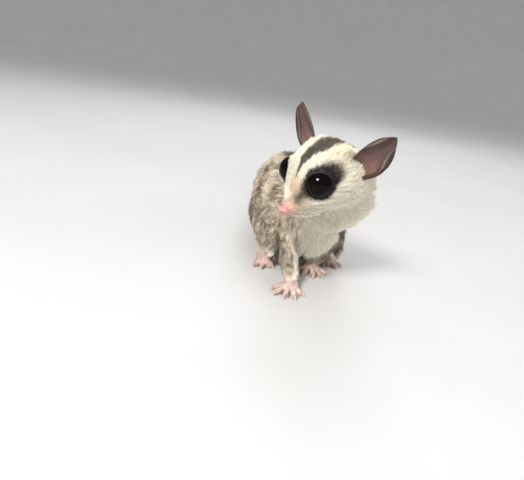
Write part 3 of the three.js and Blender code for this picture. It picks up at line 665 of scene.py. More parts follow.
def paint_head(p):
    """Colours of the head's coat at points in its own axes."""
    x, y, z = np.abs(p[:, 0]), p[:, 1], p[:, 2]
    ragged = noise(p, 1.6, 3) * 0.35 + noise(p, 0.7, 4) * 0.25
    out = np.broadcast_to(CREAM, p.shape)
    # warm crests, a grey nape, a buff cheek, bridge and side of the muzzle
    out = mix(out, colour(0.93, 0.86, 0.66), 0.55 * bell(size(np.stack([x, y, z], -1) - CREST), 4))
    out = mix(out, GREY, 0.85 * smooth(y + 0.35 * z + ragged * 2, 13, 19) * smooth(z, -3, 4))
    out = mix(out, BUFF, 0.4 * smooth(y + ragged, 6, 14) * smooth(-z, 0, 6) * (1 - smooth(-z, 10, 15)))
    muzzle = smooth(-y + ragged, 10, 13.5) * smooth(z, -9.5, -6)
    out = mix(out, BUFF, (0.5 + 0.3 * (1 - smooth(x, 1.5, 3.5))) * muzzle)
    for side in (1, -1):
        # dark patch before and above each ear
        ear = (p - EAR_PATCH * [side, 1, 1]) * [1, 0.8, 1]
        out = mix(out, DARK, 0.9 * bell(size(ear) + ragged * 0.6, 3.0))
        # the ring is narrow but for a wedge that runs back from the eye towards the ear, and the right
        # eye's is hidden above by the fur of the brow
        distance, _, front, up, _ = eye_distance(p, side)
        angle = np.degrees(np.arctan2(up, front))
        width = np.interp(angle, *EYE_RING) * (1 - 0.65 * bell(angle - 120, 32) * (side < 0))
        ring = 1 - smooth(distance + ragged * 1.1, width * 0.5, width * 1.25 + 0.3)
        out = mix(out, mix(BLACK, BROWN, smooth(distance, 0.8, 4)), ring)
        # the dusky line from the eye forward to the lip
        low = smooth(front, 3.5, 6) * bell(up + 0.36 * (front - 7), 2.0)
        low *= (1 - smooth(front + ragged, 10, 12.8)) * (1 - smooth(distance, 7.5, 9.5))
        out = mix(out, BROWN * 0.75, 0.92 * low)
    out = mix(out, CREAM, 0.9 * (1 - smooth(line_distance(p, BRIDGE_EDGE) + ragged * 0.8, 1.3, 2.7)))
    # mid stripe of the crown
    half = np.interp(y, [-12.5, -10, -6.5, -2, 4, 12, 20], [0, 0.7, 2.1, 3.1, 3.8, 4.6, 5])
    stripe = (1 - smooth(x + ragged * 0.8, half * 0.72, half * 1.2 + 0.15)) * smooth(z, -2, 3) * (y > -12)
    out = mix(out, mix(STRIPE, DARK, smooth(y, -5, 5)), 0.95 * stripe)
    # pink skin that shows at the muzzle's end and the lips
    from_nose = p - NOSE_PLACE
    from_nose[:, 2] *= np.where(from_nose[:, 2] > 0, 1.2, 0.8)
    return mix(out, PINK, 0.8 * (1 - smooth(size(from_nose) * 0.85 + ragged, 2.2, 6)))


def paint_body(p, n, bib):
    """Colours of the trunk, neck, upper limbs and membrane. bib is how far the pale front reaches."""
    x = np.abs(p[:, 0] - cubic(TRUNK, p[:, 1])[:, 0])
    patches, fine = noise(p * [1, 0.6, 1], 4.2, 5), noise(p * [1, 0.6, 1], 1.5, 6)
    out = mix(GREY, PALE_GREY, np.clip(0.5 + 0.4 * patches + 0.7 * fine, 0, 1))
    out = mix(out, DARK, 0.5 * smooth(-fine * 0.8 - patches * 0.6, 0.18, 0.8))
    # cream throat, chest and belly
    under = smooth(-n[:, 2] + 0.1 * patches, 0.1, 0.5)
    ahead = smooth(n @ [0.25, -0.9, -0.35] + 0.06 * patches, 0.12, 0.42) * smooth(-p[:, 1], 30, 38)
    out = mix(out, CREAM, np.maximum(under, ahead) * bib)
    # mid stripe of the back, from the nape to the rump
    width = np.interp(p[:, 1], [-60, -30, 10, 35, 50], [5.2, 4.6, 4.4, 3.4, 2])
    stripe = 1 - smooth(x + patches * 0.9 + fine * 0.5, width * 0.6, width * 1.1)
    return mix(out, DARK, 0.9 * stripe * smooth(n[:, 2], 0.4, 0.75))


def paint(p, n, weights):
    """The coat's colour at points with normals, blended by how much each belongs to a region."""
    part = dict(zip(REGIONS, weights.T))
    local = to_head(p)
    body = paint_body(p, n, np.minimum((part["neck"] + part["trunk"] + 0.4 * part["thigh"]) * 1.5, 1))
    neck = mix(body, CREAM, smooth(-local[:, 2] + noise(p, 2.5, 12), -1, 4) * smooth(-p[:, 1], 38, 46))
    rear = smooth(n @ NAPE_WAY + 0.12 * noise(p, 2.5, 12), 0.3, 0.75)
    # limbs: grey outside, cream within, paler to the paw
    inner = smooth(-n[:, 0] * np.sign(p[:, 0]) + 0.1 * noise(p, 2, 13), 0.1, 0.45)
    limb = mix(paint_body(p, n, 0) * 0.8, CREAM, 0.9 * inner)
    limb = mix(limb, CREAM, 0.8 * smooth(1 - smooth(p[:, 2], 4, 14), 0.55, 1.0))
    paw = mix(PAW_WHITE, PINK, np.clip(0.3 + 0.35 * noise(p, 1.2, 8), 0, 1))
    paw = mix(paw, PINK, 0.85 * smooth(-n[:, 2], -0.45, 0.15))
    hem = 1 - smooth(p[:, 2] + noise(p, 2, 10) * 0.6, 8.5, 12)
    # tail: paler below, dark to its end
    share, around, *_ = TAIL_FORM.read(p)
    patches = noise(p, 5, 9)
    tail = mix(GREY, PALE_GREY, np.clip(0.25 + 0.5 * patches, 0, 1))
    tail = mix(tail, PALE_GREY, 0.5 * smooth(-np.sin(around), 0.2, 0.9))
    tail = mix(tail, TAIL_TIP, smooth(share + patches * 0.05, 0.55, 0.86))
    shades = {"head": mix(paint_head(local), body, 0.85 * rear), "neck": mix(neck, body, 0.9 * rear),
              "trunk": body, "thigh": body, "arm": limb, "forearm": limb, "shank": limb, "paw": paw,
              "membrane": mix(mix(body, DARK, 0.45), CREAM, hem), "tail": tail}
    out = sum(shade * part[name][:, None] for name, shade in shades.items())
    upper = (part["head"] + part["neck"] + part["trunk"]) * smooth(n[:, 2], 0, 0.35) * (p[:, 1] < -12)
    upper *= 1 - smooth(line_distance(p, NAPE_LINE), 8, 11)
    stripe = 1 - smooth(line_distance(p[:, :2], NAPE_LINE) + noise(p, 1.6, 3) * 0.5, 3, 5.2)
    return mix(out, DARK, 0.9 * stripe * upper)


# Materials

def node(tree, kind, **values):
    made = tree.nodes.new("ShaderNode" + kind)
    for name, value in values.items():
        made.inputs[name.replace("_", " ")].default_value = value
    return made


def material(name, **values):
    """A material of one shader with its own values."""
    made = bpy.data.materials.new(name)
    made.use_nodes = True
    tree = made.node_tree
    tree.nodes.clear()
    shader = node(tree, "BsdfPrincipled", **values)
    tree.links.new(shader.outputs["BSDF"], node(tree, "OutputMaterial").inputs["Surface"])
    return made, tree, shader.inputs


def noise_node(tree, scale, detail=3):
    """Noise in the object's own axes."""
    texture = node(tree, "TexNoise", Scale=scale, Detail=detail, Roughness=0.6)
    tree.links.new(node(tree, "TexCoord").outputs["Object"], texture.inputs["Vector"])
    return texture.outputs["Fac"]


def ramp_node(tree, source, target, *stops):
    """Gives an input two shades or numbers by how high the noise is."""
    ramp = node(tree, "ValToRGB")
    for element, (place, value) in zip(ramp.color_ramp.elements, stops):
        element.position = place
        element.color = (*value, 1) if np.ndim(value) else (value, value, value, 1)
    tree.links.new(source, ramp.inputs["Fac"])
    tree.links.new(ramp.outputs["Color"], target)


def tinted(name, roughness, scale, spread, specular, bump=None, subsurface=0.0, sheen=0.0):
    """A material with the piece's own tint, broken up by noise. bump gives its scale, strength and depth."""
    values = {"Specular_IOR_Level": specular}
    if sheen:
        values.update(Sheen_Weight=sheen, Sheen_Roughness=0.5)
    if subsurface:
        values.update(Subsurface_Weight=subsurface, Subsurface_Scale=1,
                      Subsurface_Radius=(0.0012, 0.0005, 0.0003))
    made, tree, inputs = material(name, **values)
    tint = node(tree, "VertexColor")
    tint.layer_name = "tint"
    texture = noise_node(tree, scale)
    multiply = node(tree, "Mix")
    multiply.data_type, multiply.blend_type = "RGBA", "MULTIPLY"
    multiply.inputs["Factor"].default_value = 1
    tree.links.new(tint.outputs["Color"], multiply.inputs[6])
    ramp_node(tree, texture, multiply.inputs[7], (0.3, 1 - spread), (0.7, 1 + spread))
    tree.links.new(multiply.outputs[2], inputs["Base Color"])
    ramp_node(tree, texture, inputs["Roughness"], (0.3, roughness - 0.06), (0.7, roughness + 0.06))
    if bump:
        relief = node(tree, "Bump", Strength=bump[1], Distance=bump[2])
        tree.links.new(noise_node(tree, bump[0], 4), relief.inputs["Height"])
        tree.links.new(relief.outputs["Normal"], inputs["Normal"])
    return made


SKIN = tinted("skin", 0.6, 900, 0.12, 0.3, (2600, 0.5, 0.0002), 0.15)
COAT_HAIR = tinted("coat", 0.64, 1500, 0.16, 0.2, sheen=0.1)
LID_SKIN = tinted("lid_skin", 0.5, 1200, 0.2, 0.3, (3000, 0.3, 0.0001))
NOSE_SKIN = tinted("nose_skin", 0.38, 1600, 0.1, 0.5, (4200, 0.35, 0.00012), 0.15)
EAR_SKIN = tinted("ear_skin", 0.52, 700, 0.14, 0.4, (2400, 0.4, 0.0002), 0.25)
CLAW = tinted("claw", 0.35, 1500, 0.15, 0.5, (3000, 0.2, 0.0001))
EYE, eye_tree, eye_inputs = material("eye", IOR=1.36, Specular_IOR_Level=0.15)
eye_noise = noise_node(eye_tree, 400, 2)
ramp_node(eye_tree, eye_noise, eye_inputs["Base Color"],
          (0.3, (0.002, 0.0015, 0.0015)), (0.8, (0.006, 0.003, 0.002)))
ramp_node(eye_tree, eye_noise, eye_inputs["Roughness"], (0.3, 0.03), (0.8, 0.05))

# The skin takes the coat's markings, darkened as painted shade where it lies under the coat: less on the
# head, not at all on the bare paws.
set_colours(skin, paint(P, N, W) * (0.74 + 0.26 * region(W, "paw") + 0.12 * region(W, "head"))[:, None])
FLESH = ["head", "lower_jaw", "neck", "chest", "belly", "rump", "tail_base", "tail_middle", "tail_end"]
for name in SIDES:
    FLESH += [f"{part}_{name}"
              for part in ("upper_arm", "forearm", "hand", "thigh", "shank", "foot", "membrane")]
dress(skin, SKIN, FLESH)


# Eyes and lids

def lid_rims(side):
    """The wet rim of both lids, on the ball of the eye."""
    middle, gaze, corner, rise = eye_frame(side)
    a = np.linspace(-0.12, math.pi + 0.12, 60)
    out = EYE_OPENING + 0.12 + 0.25 * np.cos(a) ** 8
    parts = []
    for lift, thick in ((1, 0.26), (-0.97, 0.2)):
        point = (middle + gaze * OPENING_DEPTH + corner * (out * np.cos(a))[:, None]
                 + rise * (lift * out * np.sin(a))[:, None])
        point = middle + unit(point - middle) * (EYE_RADIUS + 0.12)
        parts.append(tube(point, thick * (0.55 + 0.45 * np.sin(np.clip(a, 0, math.pi))), 10, gaze))
    return join(parts)


for name, side in SIDES.items():
    solid(f"eyeball_{name}", ball(EYE_RADIUS, eye_frame(side)[0], 72, 48), None, EYE, [f"eye_{name}"])
for name, side in SIDES.items():
    solid(f"lids_{name}", lid_rims(side), colour(0.085, 0.065, 0.06), LID_SKIN)


# Nose, lips and ears

def build_nose():
    points, faces = ball(1.0, np.zeros(3), 96, 72)
    way = unit(points)
    points = way * NOSE_HALF * np.array([1.02, 1.0, 1.0])
    # broad above, drawn in below towards the lip
    points[:, 0] *= 1 - 0.3 * smooth(-points[:, 2], 0.2, 1.5)
    points[:, 1] += 0.25 * smooth(-points[:, 2], 0.3, 1.4)
    # shade holds the nose's painted shade, which darkens its hollows
    shade = np.ones(len(points))
    for side in (1, -1):
        pit = points - [side * 0.95, -1.22, 0.12]
        hole = bell(np.hypot(pit[:, 0], pit[:, 2] * 1.25), 0.42) * (points[:, 1] < 0)
        points[:, 1] += 0.75 * hole
        slit = points - [side * 1.55, -0.75, 0.28]
        line = bell(np.hypot(slit[:, 0] * 0.7, slit[:, 2] * 2.6), 0.45) * (points[:, 1] < 0.2)
        points -= way * (0.25 * line)[:, None]
        # painted shade in each nostril's pit and in the slit beside it
        shade *= (1 - 0.9 * hole) * (1 - 0.6 * line)
        points += way * (0.16 * bell(size(points - [side * 1.3, -0.9, 0.75]), 0.5))[:, None]
    groove = bell(points[:, 0], 0.14) * smooth(-points[:, 1], 0.5, 1.2) * smooth(-points[:, 2], -0.5, 0.2)
    points[:, 1] += 0.22 * groove
    # painted shade in the groove below the nose
    shade *= 1 - 0.45 * groove
    # where the painted shade is deepest, the pink turns a deeper red
    tint = mix(NOSE_PINK * shade[:, None], colour(0.45, 0.2, 0.2), (1 - shade) * 0.5)
    solid("nose_pad", (points + NOSE_PLACE, faces), tint, NOSE_SKIN, ["nose"])


build_nose()


def muzzle_side(y, z):
    """Half the muzzle's width at a place along it and a height."""
    half, top, bottom = cubic(SKULL, np.asarray(y, float))[..., 1:].T
    height = (np.asarray(z) - (top + bottom) / 2) / ((top - bottom) / 2)
    return half * np.sqrt(np.maximum(1 - height ** 2, 0.05))


def build_lips():
    """The edges of both lips and, between them, a dark line of painted shade."""
    y, z = curve_points([[0, *row] for row in MOUTH_LINE], 40)[:, 1:].T
    taper = np.interp(np.arange(40), [0, 6, 18, 30, 39], [0.6, 1, 0.7, 0.2, 0.05])
    parts, tints = [], []
    for side in (1, -1):
        # the third tube is the dark line, painted shade in the parting between the lips
        for lift, sunk, thick, tint in ((0.2, 0.62, 0.26, PINK), (-0.2, 0.76, 0.24, PINK),
                                        (0, 0.6, 0.11, colour(0.3, 0.17, 0.15))):
            line = np.stack([side * np.maximum(muzzle_side(y, z) - sunk, 0.3), y, z + lift], -1)
            parts.append(tube(line, thick * taper))
            tints.append(np.broadcast_to(tint * 0.75, parts[-1][0].shape))
    solid("lips", join(parts), np.vstack(tints), SKIN)


build_lips()


def ear_point(side, spread, v, lift):
    """A point of an ear at a place across it from -1 to 1, along it from 0 to 1, and off its middle sheet."""
    root = EAR_ROOT * [side, 1, 1]
    rise = EAR_TIP * [side, 1, 1] - root
    length = size(rise)
    rise = rise / length
    facing = unit(EAR_FACING[side] - rise * (EAR_FACING[side] @ rise))
    across = np.cross(rise, facing)
    up = np.clip(v, 0, 1)
    swell = EAR_ROOT_SHARE + (1 - EAR_ROOT_SHARE) * np.sin(np.minimum(up / EAR_WIDEST, 1) * np.pi / 2)
    narrow = np.sqrt(np.clip(1 - (np.maximum(up - EAR_WIDEST, 0) / (1.03 - EAR_WIDEST)) ** 2, 0, 1))
    half = EAR_HALF_WIDTH * np.where(up < EAR_WIDEST, swell, narrow)
    out = EAR_CUP * (1 - 0.45 * up) * (spread ** 2 - 0.5) + EAR_LEAN * up ** 2 + lift
    bow = half * spread + side * EAR_BOW * np.sin(up * np.pi)
    return (root + rise * (v * length - 1.2 * up * spread ** 2)[..., None] + across * bow[..., None]
            + facing * out[..., None])


def ear_face(side, face, spread, v):
    """A point of an ear's inner face, 1, or its back, -1."""
    rim = np.maximum(np.abs(spread) ** 6, smooth(v, 0.9, 1.0))
    base = 0.5 - 0.22 * v + 0.28 * rim * smooth(v, 0.25, 0.5)
    folds = 0.05 * np.sin(v * 46 + spread ** 2 * 3) * (1 - np.abs(spread)) * smooth(v, 0.4, 0.55)
    folds += 0.12 * bell(spread - 0.35 * side, 0.1) * (1 - smooth(v, 0.5, 0.8))
    return ear_point(side, spread, v, face * base / 2 + folds * (face > 0))


def ear_tint(face, spread, v):
    """Colours of an ear at places on its faces, darker at the rim."""
    inner = mix(colour(0.50, 0.375, 0.345), colour(0.37, 0.29, 0.28), smooth(v, 0.2, 0.75))
    outer = mix(colour(0.48, 0.39, 0.36), colour(0.35, 0.285, 0.275), smooth(v, 0.4, 1.0))
    mottle = noise(np.stack([spread * 5, v * 4.5, face], -1), 0.8, 14)
    tint = mix(outer, inner, face > 0) * (1 + 0.16 * mottle)[:, None]
    return mix(tint, colour(0.25, 0.195, 0.18), 0.7 * smooth(np.maximum(np.abs(spread), v), 0.84, 1.0))


for name, side in SIDES.items():
    spread, v = np.meshgrid(np.linspace(-1, 1, 61), np.linspace(-0.12, 1, 81), indexing="ij")
    u, w, face = (np.concatenate(pair, axis=1).ravel()
                  for pair in ((spread, spread), (v, v[:, ::-1]), (0 * v + 1, 0 * v - 1)))
    tint = ear_tint(face, u, w)
    solid(f"ear_shell_{name}", sheet(ear_face(side, 1, spread, v), ear_face(side, -1, spread, v)),
          np.vstack([tint[:1], tint, tint[-1:]]), EAR_SKIN, [f"ear_{name}"])


# Claws and whiskers

claw_parts = [form.surface(12, 24) for form in claws]
claw_tints = [mix(colour(0.80, 0.62, 0.55), colour(0.86, 0.80, 0.72), smooth(form.read(points)[0], 0.4, 0.9))
              for form, (points, _) in zip(claws, claw_parts)]
points, faces = join(claw_parts)
points[:, 2] = np.maximum(points[:, 2], 0.05)
solid("claws", (points, faces), np.vstack(claw_tints), CLAW, head=False)


def whisker(start, way, length, thick, droop):
    """A fine hair that bends down and tapers to nothing."""
    s = np.linspace(0, 1, 14)[:, None]
    line = start + unit(way) * length * s + np.array([0, 0, -1.0]) * droop * length * s ** 2
    return tube(line, thick * (1.02 - s[:, 0]) ** 0.7, 6)


def build_whiskers():
    """Whiskers of the muzzle and brows."""
    parts = []
    for side in (1, -1):
        for row, column in np.ndindex(4, 4):
            y, z = -15.6 + column * 1.3 + 0.3 * row, -8.7 + row * 0.95 + 0.25 * column
            way = [side * (0.8 + 0.08 * rng.random()), 0.1 + 0.16 * column - 0.1 * rng.random(),
                   0.25 * (row - 1.2) + 0.1 * (rng.random() - 0.5)]
            parts.append(whisker([side * (muzzle_side(y, z) - 0.5), y, z], way,
                                 6.5 + 2.4 * column + 1.5 * rng.random(), 0.032, 0.12))
        for k in range(3):
            parts.append(whisker([side * (3.6 + 0.7 * k), -9.6 + 1.3 * k, 6.9 + 0.9 * k],
                                 [side * (0.35 + 0.15 * k), -0.35 + 0.1 * k, 0.9],
                                 6 + rng.random() * 2, 0.03, 0.2))
    return join(parts)


solid("whiskers", build_whiskers(), colour(0.40, 0.35, 0.31), CLAW)


# Coat: tufts rooted in the skin. For each region the length, rise and half width of its tufts, how many stand
# on a square millimetre, and the size of the locks that they draw together in
COAT = {
    "head": (3.5, 1.7, 0.12, 10.5, 1.3),
    "neck": (5.0, 2.5, 0.15, 7.5, 1.8),
    "trunk": (6.8, 3.4, 0.21, 4.3, 2.9),
    "arm": (4.4, 2.0, 0.17, 6.5, 2.2),
    "forearm": (3.0, 1.0, 0.14, 9.0, 1.6),
    "thigh": (6.0, 2.8, 0.2, 5.0, 2.7),
    "shank": (3.8, 1.3, 0.16, 8.0, 1.8),
    "paw": (1.9, 0.5, 0.08, 13.0, 0.8),
    "membrane": (4.6, 0.8, 0.17, 6.5, 1.9),
    "tail": (16.0, 5.6, 0.25, 7.8, 3.4),
}
COAT = np.array([COAT[name] for name in REGIONS])
# the tail's length and rise of coat at shares of its run
TAIL_COAT = (([0, 0.08, 0.25, 0.6, 0.9, 1], [0.42, 0.55, 0.85, 1.05, 1.0, 0.9]),
             ([0, 0.08, 0.3, 0.6, 0.85, 1], [0.4, 0.6, 0.95, 1.15, 1.0, 0.6]))
SHARE_KEPT = 1.0
MUZZLE_FRONT = np.array([0, -21, -6.5])
RUMP_END = np.array([2.5, 72, 8])
MOST_TRIANGLES = 190000
EAR_DOWN = 1500
# a tuft's three edges: their place across it and over it, and the lean and rise of their soft normals
TUFT_CORNERS = ((-1, -0.25, -0.8, 0.2), (1, -0.25, 0.8, 0.2), (0, 0.55, 0, 1))


def lie(form, reading, local):
    """The way that the coat of one form lies."""
    if form.region == "head":
        swing = unit(local - MUZZLE_FRONT) + [0, 0.25, 0]
        swing[:, 2] -= 0.35 * smooth(-local[:, 2], 0, 8)
        return swing @ HEAD_TURN.T
    if form.region == "trunk":
        side = np.clip((P[:, 0] - 0.5) / 14, -1, 1)
        along = unit(np.stack([side * 0.1, np.ones(len(P)), -0.45 * np.abs(side) - 0.1], -1))
        return along + (3 * smooth(P[:, 1], 30, 47))[:, None] * unit(RUMP_END - P)
    if form.region == "neck":
        near = 1 - smooth(readings[forms.index(SKULL_FORM)][2], 6, 16)
        swing = unit(local - MUZZLE_FRONT) @ HEAD_TURN.T + [0, 0.1, -0.35]
        return mix(np.array([-0.1, 0.6, -0.7]), swing, near)
    return reading[3]


def build_fields():
    """Length, rise, half width and number of the tufts at each vertex of the skin, and the way they lie."""
    local, coat = to_head(P), W @ COAT[:, :4]
    head, paw, membrane, tail = (region(W, name) for name in ("head", "paw", "membrane", "tail"))
    # on the head the coat is shortest and densest at the nose and longest behind the cheeks
    y, own = local[:, 1], coat.copy()
    own[:, 0] *= np.interp(y, [-18, -14, -9, -3, 6, 14, 22], [0.2, 0.3, 0.5, 0.75, 1, 1.3, 1.6])
    own[:, 0] *= 1 - 0.25 * smooth(local[:, 2], 4, 9)
    own[:, 1] = np.interp(y, [-17.6, -14, -10, -5, 0, 8, 21.5], [0.18, 0.3, 0.6, 1.05, 1.5, 1.9, 2.4])
    own[:, 2] *= np.interp(y, [-18, -12, -4, 8], [0.45, 0.6, 0.85, 1.1])
    own[:, 3] *= np.interp(y, [-18, -12, -4, 8], [2.4, 1.9, 1.3, 0.85])
    coat = mix(coat, own, head)
    # the breast's coat is shorter and finer than the back's
    breast = smooth(-P[:, 1], 30, 42) * smooth(-N[:, 1] - 0.5 * N[:, 2], -0.1, 0.4) * (1 - head)
    coat *= 1 + breast[:, None] * [-0.25, -0.3, -0.2, 0.4]
    flow = sum(unit(lie(form, reading, local)) * near[:, None]
               for form, reading, near in zip(forms, readings, nearness.T))
    for side in (1, -1):
        # round each eye the coat is short and leaves the lids
        distance, away, *_, depth = eye_distance(local, side)
        out = unit(away + [0, 0.6, 0]) @ HEAD_TURN.T
        flow = mix(unit(flow), out, head * (1 - smooth(distance, 0.4, 3.2)))
        coat[:, 1] *= 1 - 0.72 * head * (1 - smooth(distance, 0.0, 2.2))
        coat *= 1 + (head * (1 - smooth(distance, 0.2, 3.0)))[:, None] * [-0.66, 0, -0.4, 1.2]
        coat[(distance < 0.1) & (depth > -0.35) & (head > 0.3), 3] = 0
        # at the root of each ear it stands up along the ear
        root, rise_to = local - EAR_ROOT * [side, 1, 1], unit((EAR_TIP - EAR_ROOT) * [side, 1, 1])
        along = root @ rise_to
        near = head * (1 - smooth(size(root - rise_to * along[:, None]), 2.5, 5.5)) * smooth(along, 2, 5)
        flow = mix(unit(flow), rise_to @ HEAD_TURN.T, 0.8 * near)
    # the fur stands up before each ear and over each eye
    folded = np.column_stack([np.abs(local[:, 0]), local[:, 1:]])
    raised = head * (1.5 * bell(size(folded - CREST), 4) + 1.4 * bell(size(folded - BROW), 2.6))
    coat[:, :2] += raised[:, None]
    flow = laplace(unit(flow), skin_edges, 36)
    flow = unit(flow - N * (flow * N).sum(1, keepdims=True))
    # bare soles, nose and mouth, and nothing grows into the floor
    mouth = np.abs(local[:, 2] - np.interp(y, *np.transpose(MOUTH_LINE)))
    coat[:, 3] *= 1 - paw * smooth(-N[:, 2], -0.1, 0.35)
    coat[:, 3] *= smooth(size((local - NOSE_PLACE) / (NOSE_HALF + 0.35)), 0.95, 1.3)
    coat[:, 3] *= 1 - head * (1 - smooth(mouth, 0.2, 0.5)) * (y < -8.5) * (y > -17)
    coat[:, 3] *= smooth(P[:, 2], 0.2, 0.6)
    # a short fringe on the membrane's hem, and a tail that is longest coated past its middle
    coat[:, 0] *= 1 - 0.25 * membrane * (1 - smooth(P[:, 2], 8, 13))
    share = readings[forms.index(TAIL_FORM)][0]
    for k, stations in enumerate(TAIL_COAT):
        coat[:, k] *= 1 + tail * (np.interp(share, *stations) - 1)
    return coat, flow


def sow(number):
    """Roots spread evenly over the skin, as many to an area as the coat there asks for."""
    skin.data.calc_loop_triangles()
    tris = read_all(skin.data.loop_triangles, "vertices", 3, np.int32)
    a, b, c = (P[tris[:, k]] for k in range(3))
    wanted = size(np.cross(b - a, c - a)) / 2 * number[tris].mean(1) * SHARE_KEPT
    total = wanted.sum()
    count = int(total)
    at = (np.arange(count) + rng.random(count)) / count * total
    tri = np.searchsorted(np.cumsum(wanted), at).clip(0, len(tris) - 1)
    s, t = rng.random((2, count))
    over = s + t > 1
    s[over], t[over] = 1 - s[over], 1 - t[over]
    return tris[tri], np.stack([1 - s - t, s, t], 1)[..., None]


fields, flow = build_fields()
corners, corner_share = sow(fields[:, 3])
fields = np.column_stack([laplace(fields[:, :3], skin_edges, 4), fields[:, 3]])
root, root_normal, root_flow, root_weights, root_size = (
    (values[corners] * corner_share).sum(1) for values in (P, N, flow, W, fields))
root_normal, root_flow = unit(root_normal), unit(root_flow)
skin_count = len(root)
lock_size = root_weights @ COAT[:, 4]


def find_locks():
    """For each tuft the middle of its lock: the nearest of a few roots, fewer where locks are large."""
    chance = np.clip(1.6 / (root_size[:, 3] * SHARE_KEPT * lock_size ** 2), 0, 1)
    middles = np.flatnonzero(rng.random(skin_count) < chance)
    tree = tree_of(root[middles])
    return middles[[tree.find(place)[1] for place in root]]


# each tuft leans to the middle of the lock it is in
lock = find_locks()
to_lock = root[lock] - root
to_lock -= root_normal * (to_lock * root_normal).sum(1, keepdims=True)
to_lock *= np.minimum(1, lock_size * 1.3 / np.maximum(size(to_lock), 1e-6))[:, None]


def ear_roots(side, face):
    """Short down of an ear: its roots, normals and lie, no region, its size, and its place on the ear."""
    spread, v = rng.uniform(-1, 1, EAR_DOWN), rng.uniform(0.04, 0.995, EAR_DOWN)
    kept = (face < 0) | (np.abs(spread) > 0.8) | (v < 0.3) | (rng.random(EAR_DOWN) < 0.25)
    spread, v = spread[kept], v[kept]
    at = ear_face(side, face, spread, v)
    along, over = (unit(ear_face(side, face, spread + s, v + t) - at) for s, t in ((0, 0.004), (0.004, 0)))
    normal = unit(np.cross(along, over))
    normal *= np.sign((normal @ EAR_FACING[side]) * face)[:, None]
    way = unit(along + 0.25 * over * (spread ** 5)[:, None])
    base = 1 - smooth(v, 0.1, 0.35)
    return (from_head(at), normal @ HEAD_TURN.T, way @ HEAD_TURN.T,
            np.zeros((len(v), len(REGIONS))),
            np.stack([0.8 + 1.6 * base, 0.1 + 0.5 * base, 0.04 + 0.035 * base, 0 * base], -1),
            np.stack([np.full(len(v), face), spread, v, np.full(len(v), side)], -1))


ears = [np.vstack(rows) for rows in zip(*(ear_roots(side, face) for side in (1, -1) for face in (1, -1)))]
ear_where = ears.pop()
root, root_normal, root_flow, root_weights, root_size = (
    np.vstack(pair) for pair in zip((root, root_normal, root_flow, root_weights, root_size), ears))
count = len(root)
lock = np.concatenate([lock, np.arange(skin_count, count)])
to_lock = np.vstack([to_lock, np.zeros((len(ear_where), 3))])
lock_random = rng.random((count, 4))[lock]
own_random = rng.random((count, 6))


def tuft_lines(steps):
    """Points along each tuft at shares of its length."""
    yaw = (own_random[:, 0] - 0.5) * 0.5 + (lock_random[:, 0] - 0.5) * 0.55
    way = unit(root_flow * np.cos(yaw)[:, None] + np.cross(root_normal, root_flow) * np.sin(yaw)[:, None])
    long = root_size[:, 0] * (0.78 + 0.44 * own_random[:, 1]) * (0.9 + 0.2 * lock_random[:, 1])
    high = root_size[:, 1] * (0.72 + 0.4 * own_random[:, 2]) * (0.85 + 0.3 * lock_random[:, 2])
    run = np.sqrt(np.maximum(long ** 2 - high ** 2, (0.5 * long) ** 2))
    start = root - root_normal * (0.12 + 0.05 * root_size[:, 1:2])
    lines = np.stack([start + root_normal * (high * (1 - (1 - s) ** 1.9))[:, None]
                      + way * (run * s ** 1.15)[:, None] + 0.7 * to_lock * s ** 1.4 for s in steps], 1)
    lines[..., 2] = np.maximum(lines[..., 2], 0.04 + 0.1 * own_random[:, 3:4])
    return lines, way


def tuft_colours():
    """Colour at the root, the middle and the tip of each tuft."""
    base = paint(root, root_normal, root_weights)
    base[skin_count:] = ear_tint(*ear_where.T[:3]) * 1.15
    light = base @ [0.3, 0.6, 0.1]
    plain = np.clip(region(root_weights, "head") * 0.8 + region(root_weights, "paw"), 0, 1)
    plain = np.maximum(plain, 0.85 * smooth(light, 0.4, 0.62))
    swing = (own_random[:, 4] - 0.5) * 0.5 + (lock_random[:, 3] - 0.5) * 0.75 * (1 - plain)
    base = base * (1 + swing * (1 - 0.5 * plain))[:, None]
    # the grey coat is ticked: pale tips on some locks, dark ones on others
    grey = (1 - plain) * (1 - smooth(light, 0.25, 0.5)) * (1 - 0.6 * region(root_weights, "tail"))
    tip = base * (1.08 + 0.1 * own_random[:, 5])[:, None]
    pale = grey * smooth(lock_random[:, 3] * 0.6 + own_random[:, 5] * 0.5, 0.55, 0.8)
    tip = mix(tip, PALE_GREY * 1.25, 0.65 * pale)
    dark = grey * smooth(own_random[:, 4] + 0.3 * (1 - lock_random[:, 3]), 0.9, 1.1)
    # each tuft darkens towards its root, most on the grey coat: partly the darker base of its hairs and
    # partly painted shade down among the tufts
    return base * (0.5 + 0.42 * plain)[:, None], base, mix(tip, DARK * 0.9, 0.6 * dark)


def chart_places():
    """Each root's place on an unwrap of the skin: its form, its share along that and its angle round it."""
    depths, places = [], []
    for form in forms:
        share, around, distance, _ = form.read(root[:skin_count])
        depths.append(distance)
        places.append(np.stack([share, (around / AROUND) % 1], -1))
    chart = np.argmin(depths, axis=0)
    place = np.array(places)[chart, np.arange(skin_count)]
    face, spread, v, side = ear_where.T
    return (np.concatenate([chart, len(forms) + (side > 0) * 2 + (face > 0)]),
            np.vstack([place, np.stack([v, (spread + 1) / 2], -1)]))


def uv_in_piece(picked, chart, place):
    """The charts that a piece uses, laid side by side as columns of a square."""
    _, which, amount = np.unique(chart[picked], return_inverse=True, return_counts=True)
    width = np.maximum(amount / amount.sum(), 0.02)
    width /= width.sum()
    left = np.cumsum(width) - width
    up, across = place[picked].T
    return np.stack([0.004 + 0.99 * (left[which] + across * (width[which] - 0.004)),
                     0.004 + 0.985 * (up - up.min()) / max(np.ptp(up), 1e-6)], -1)


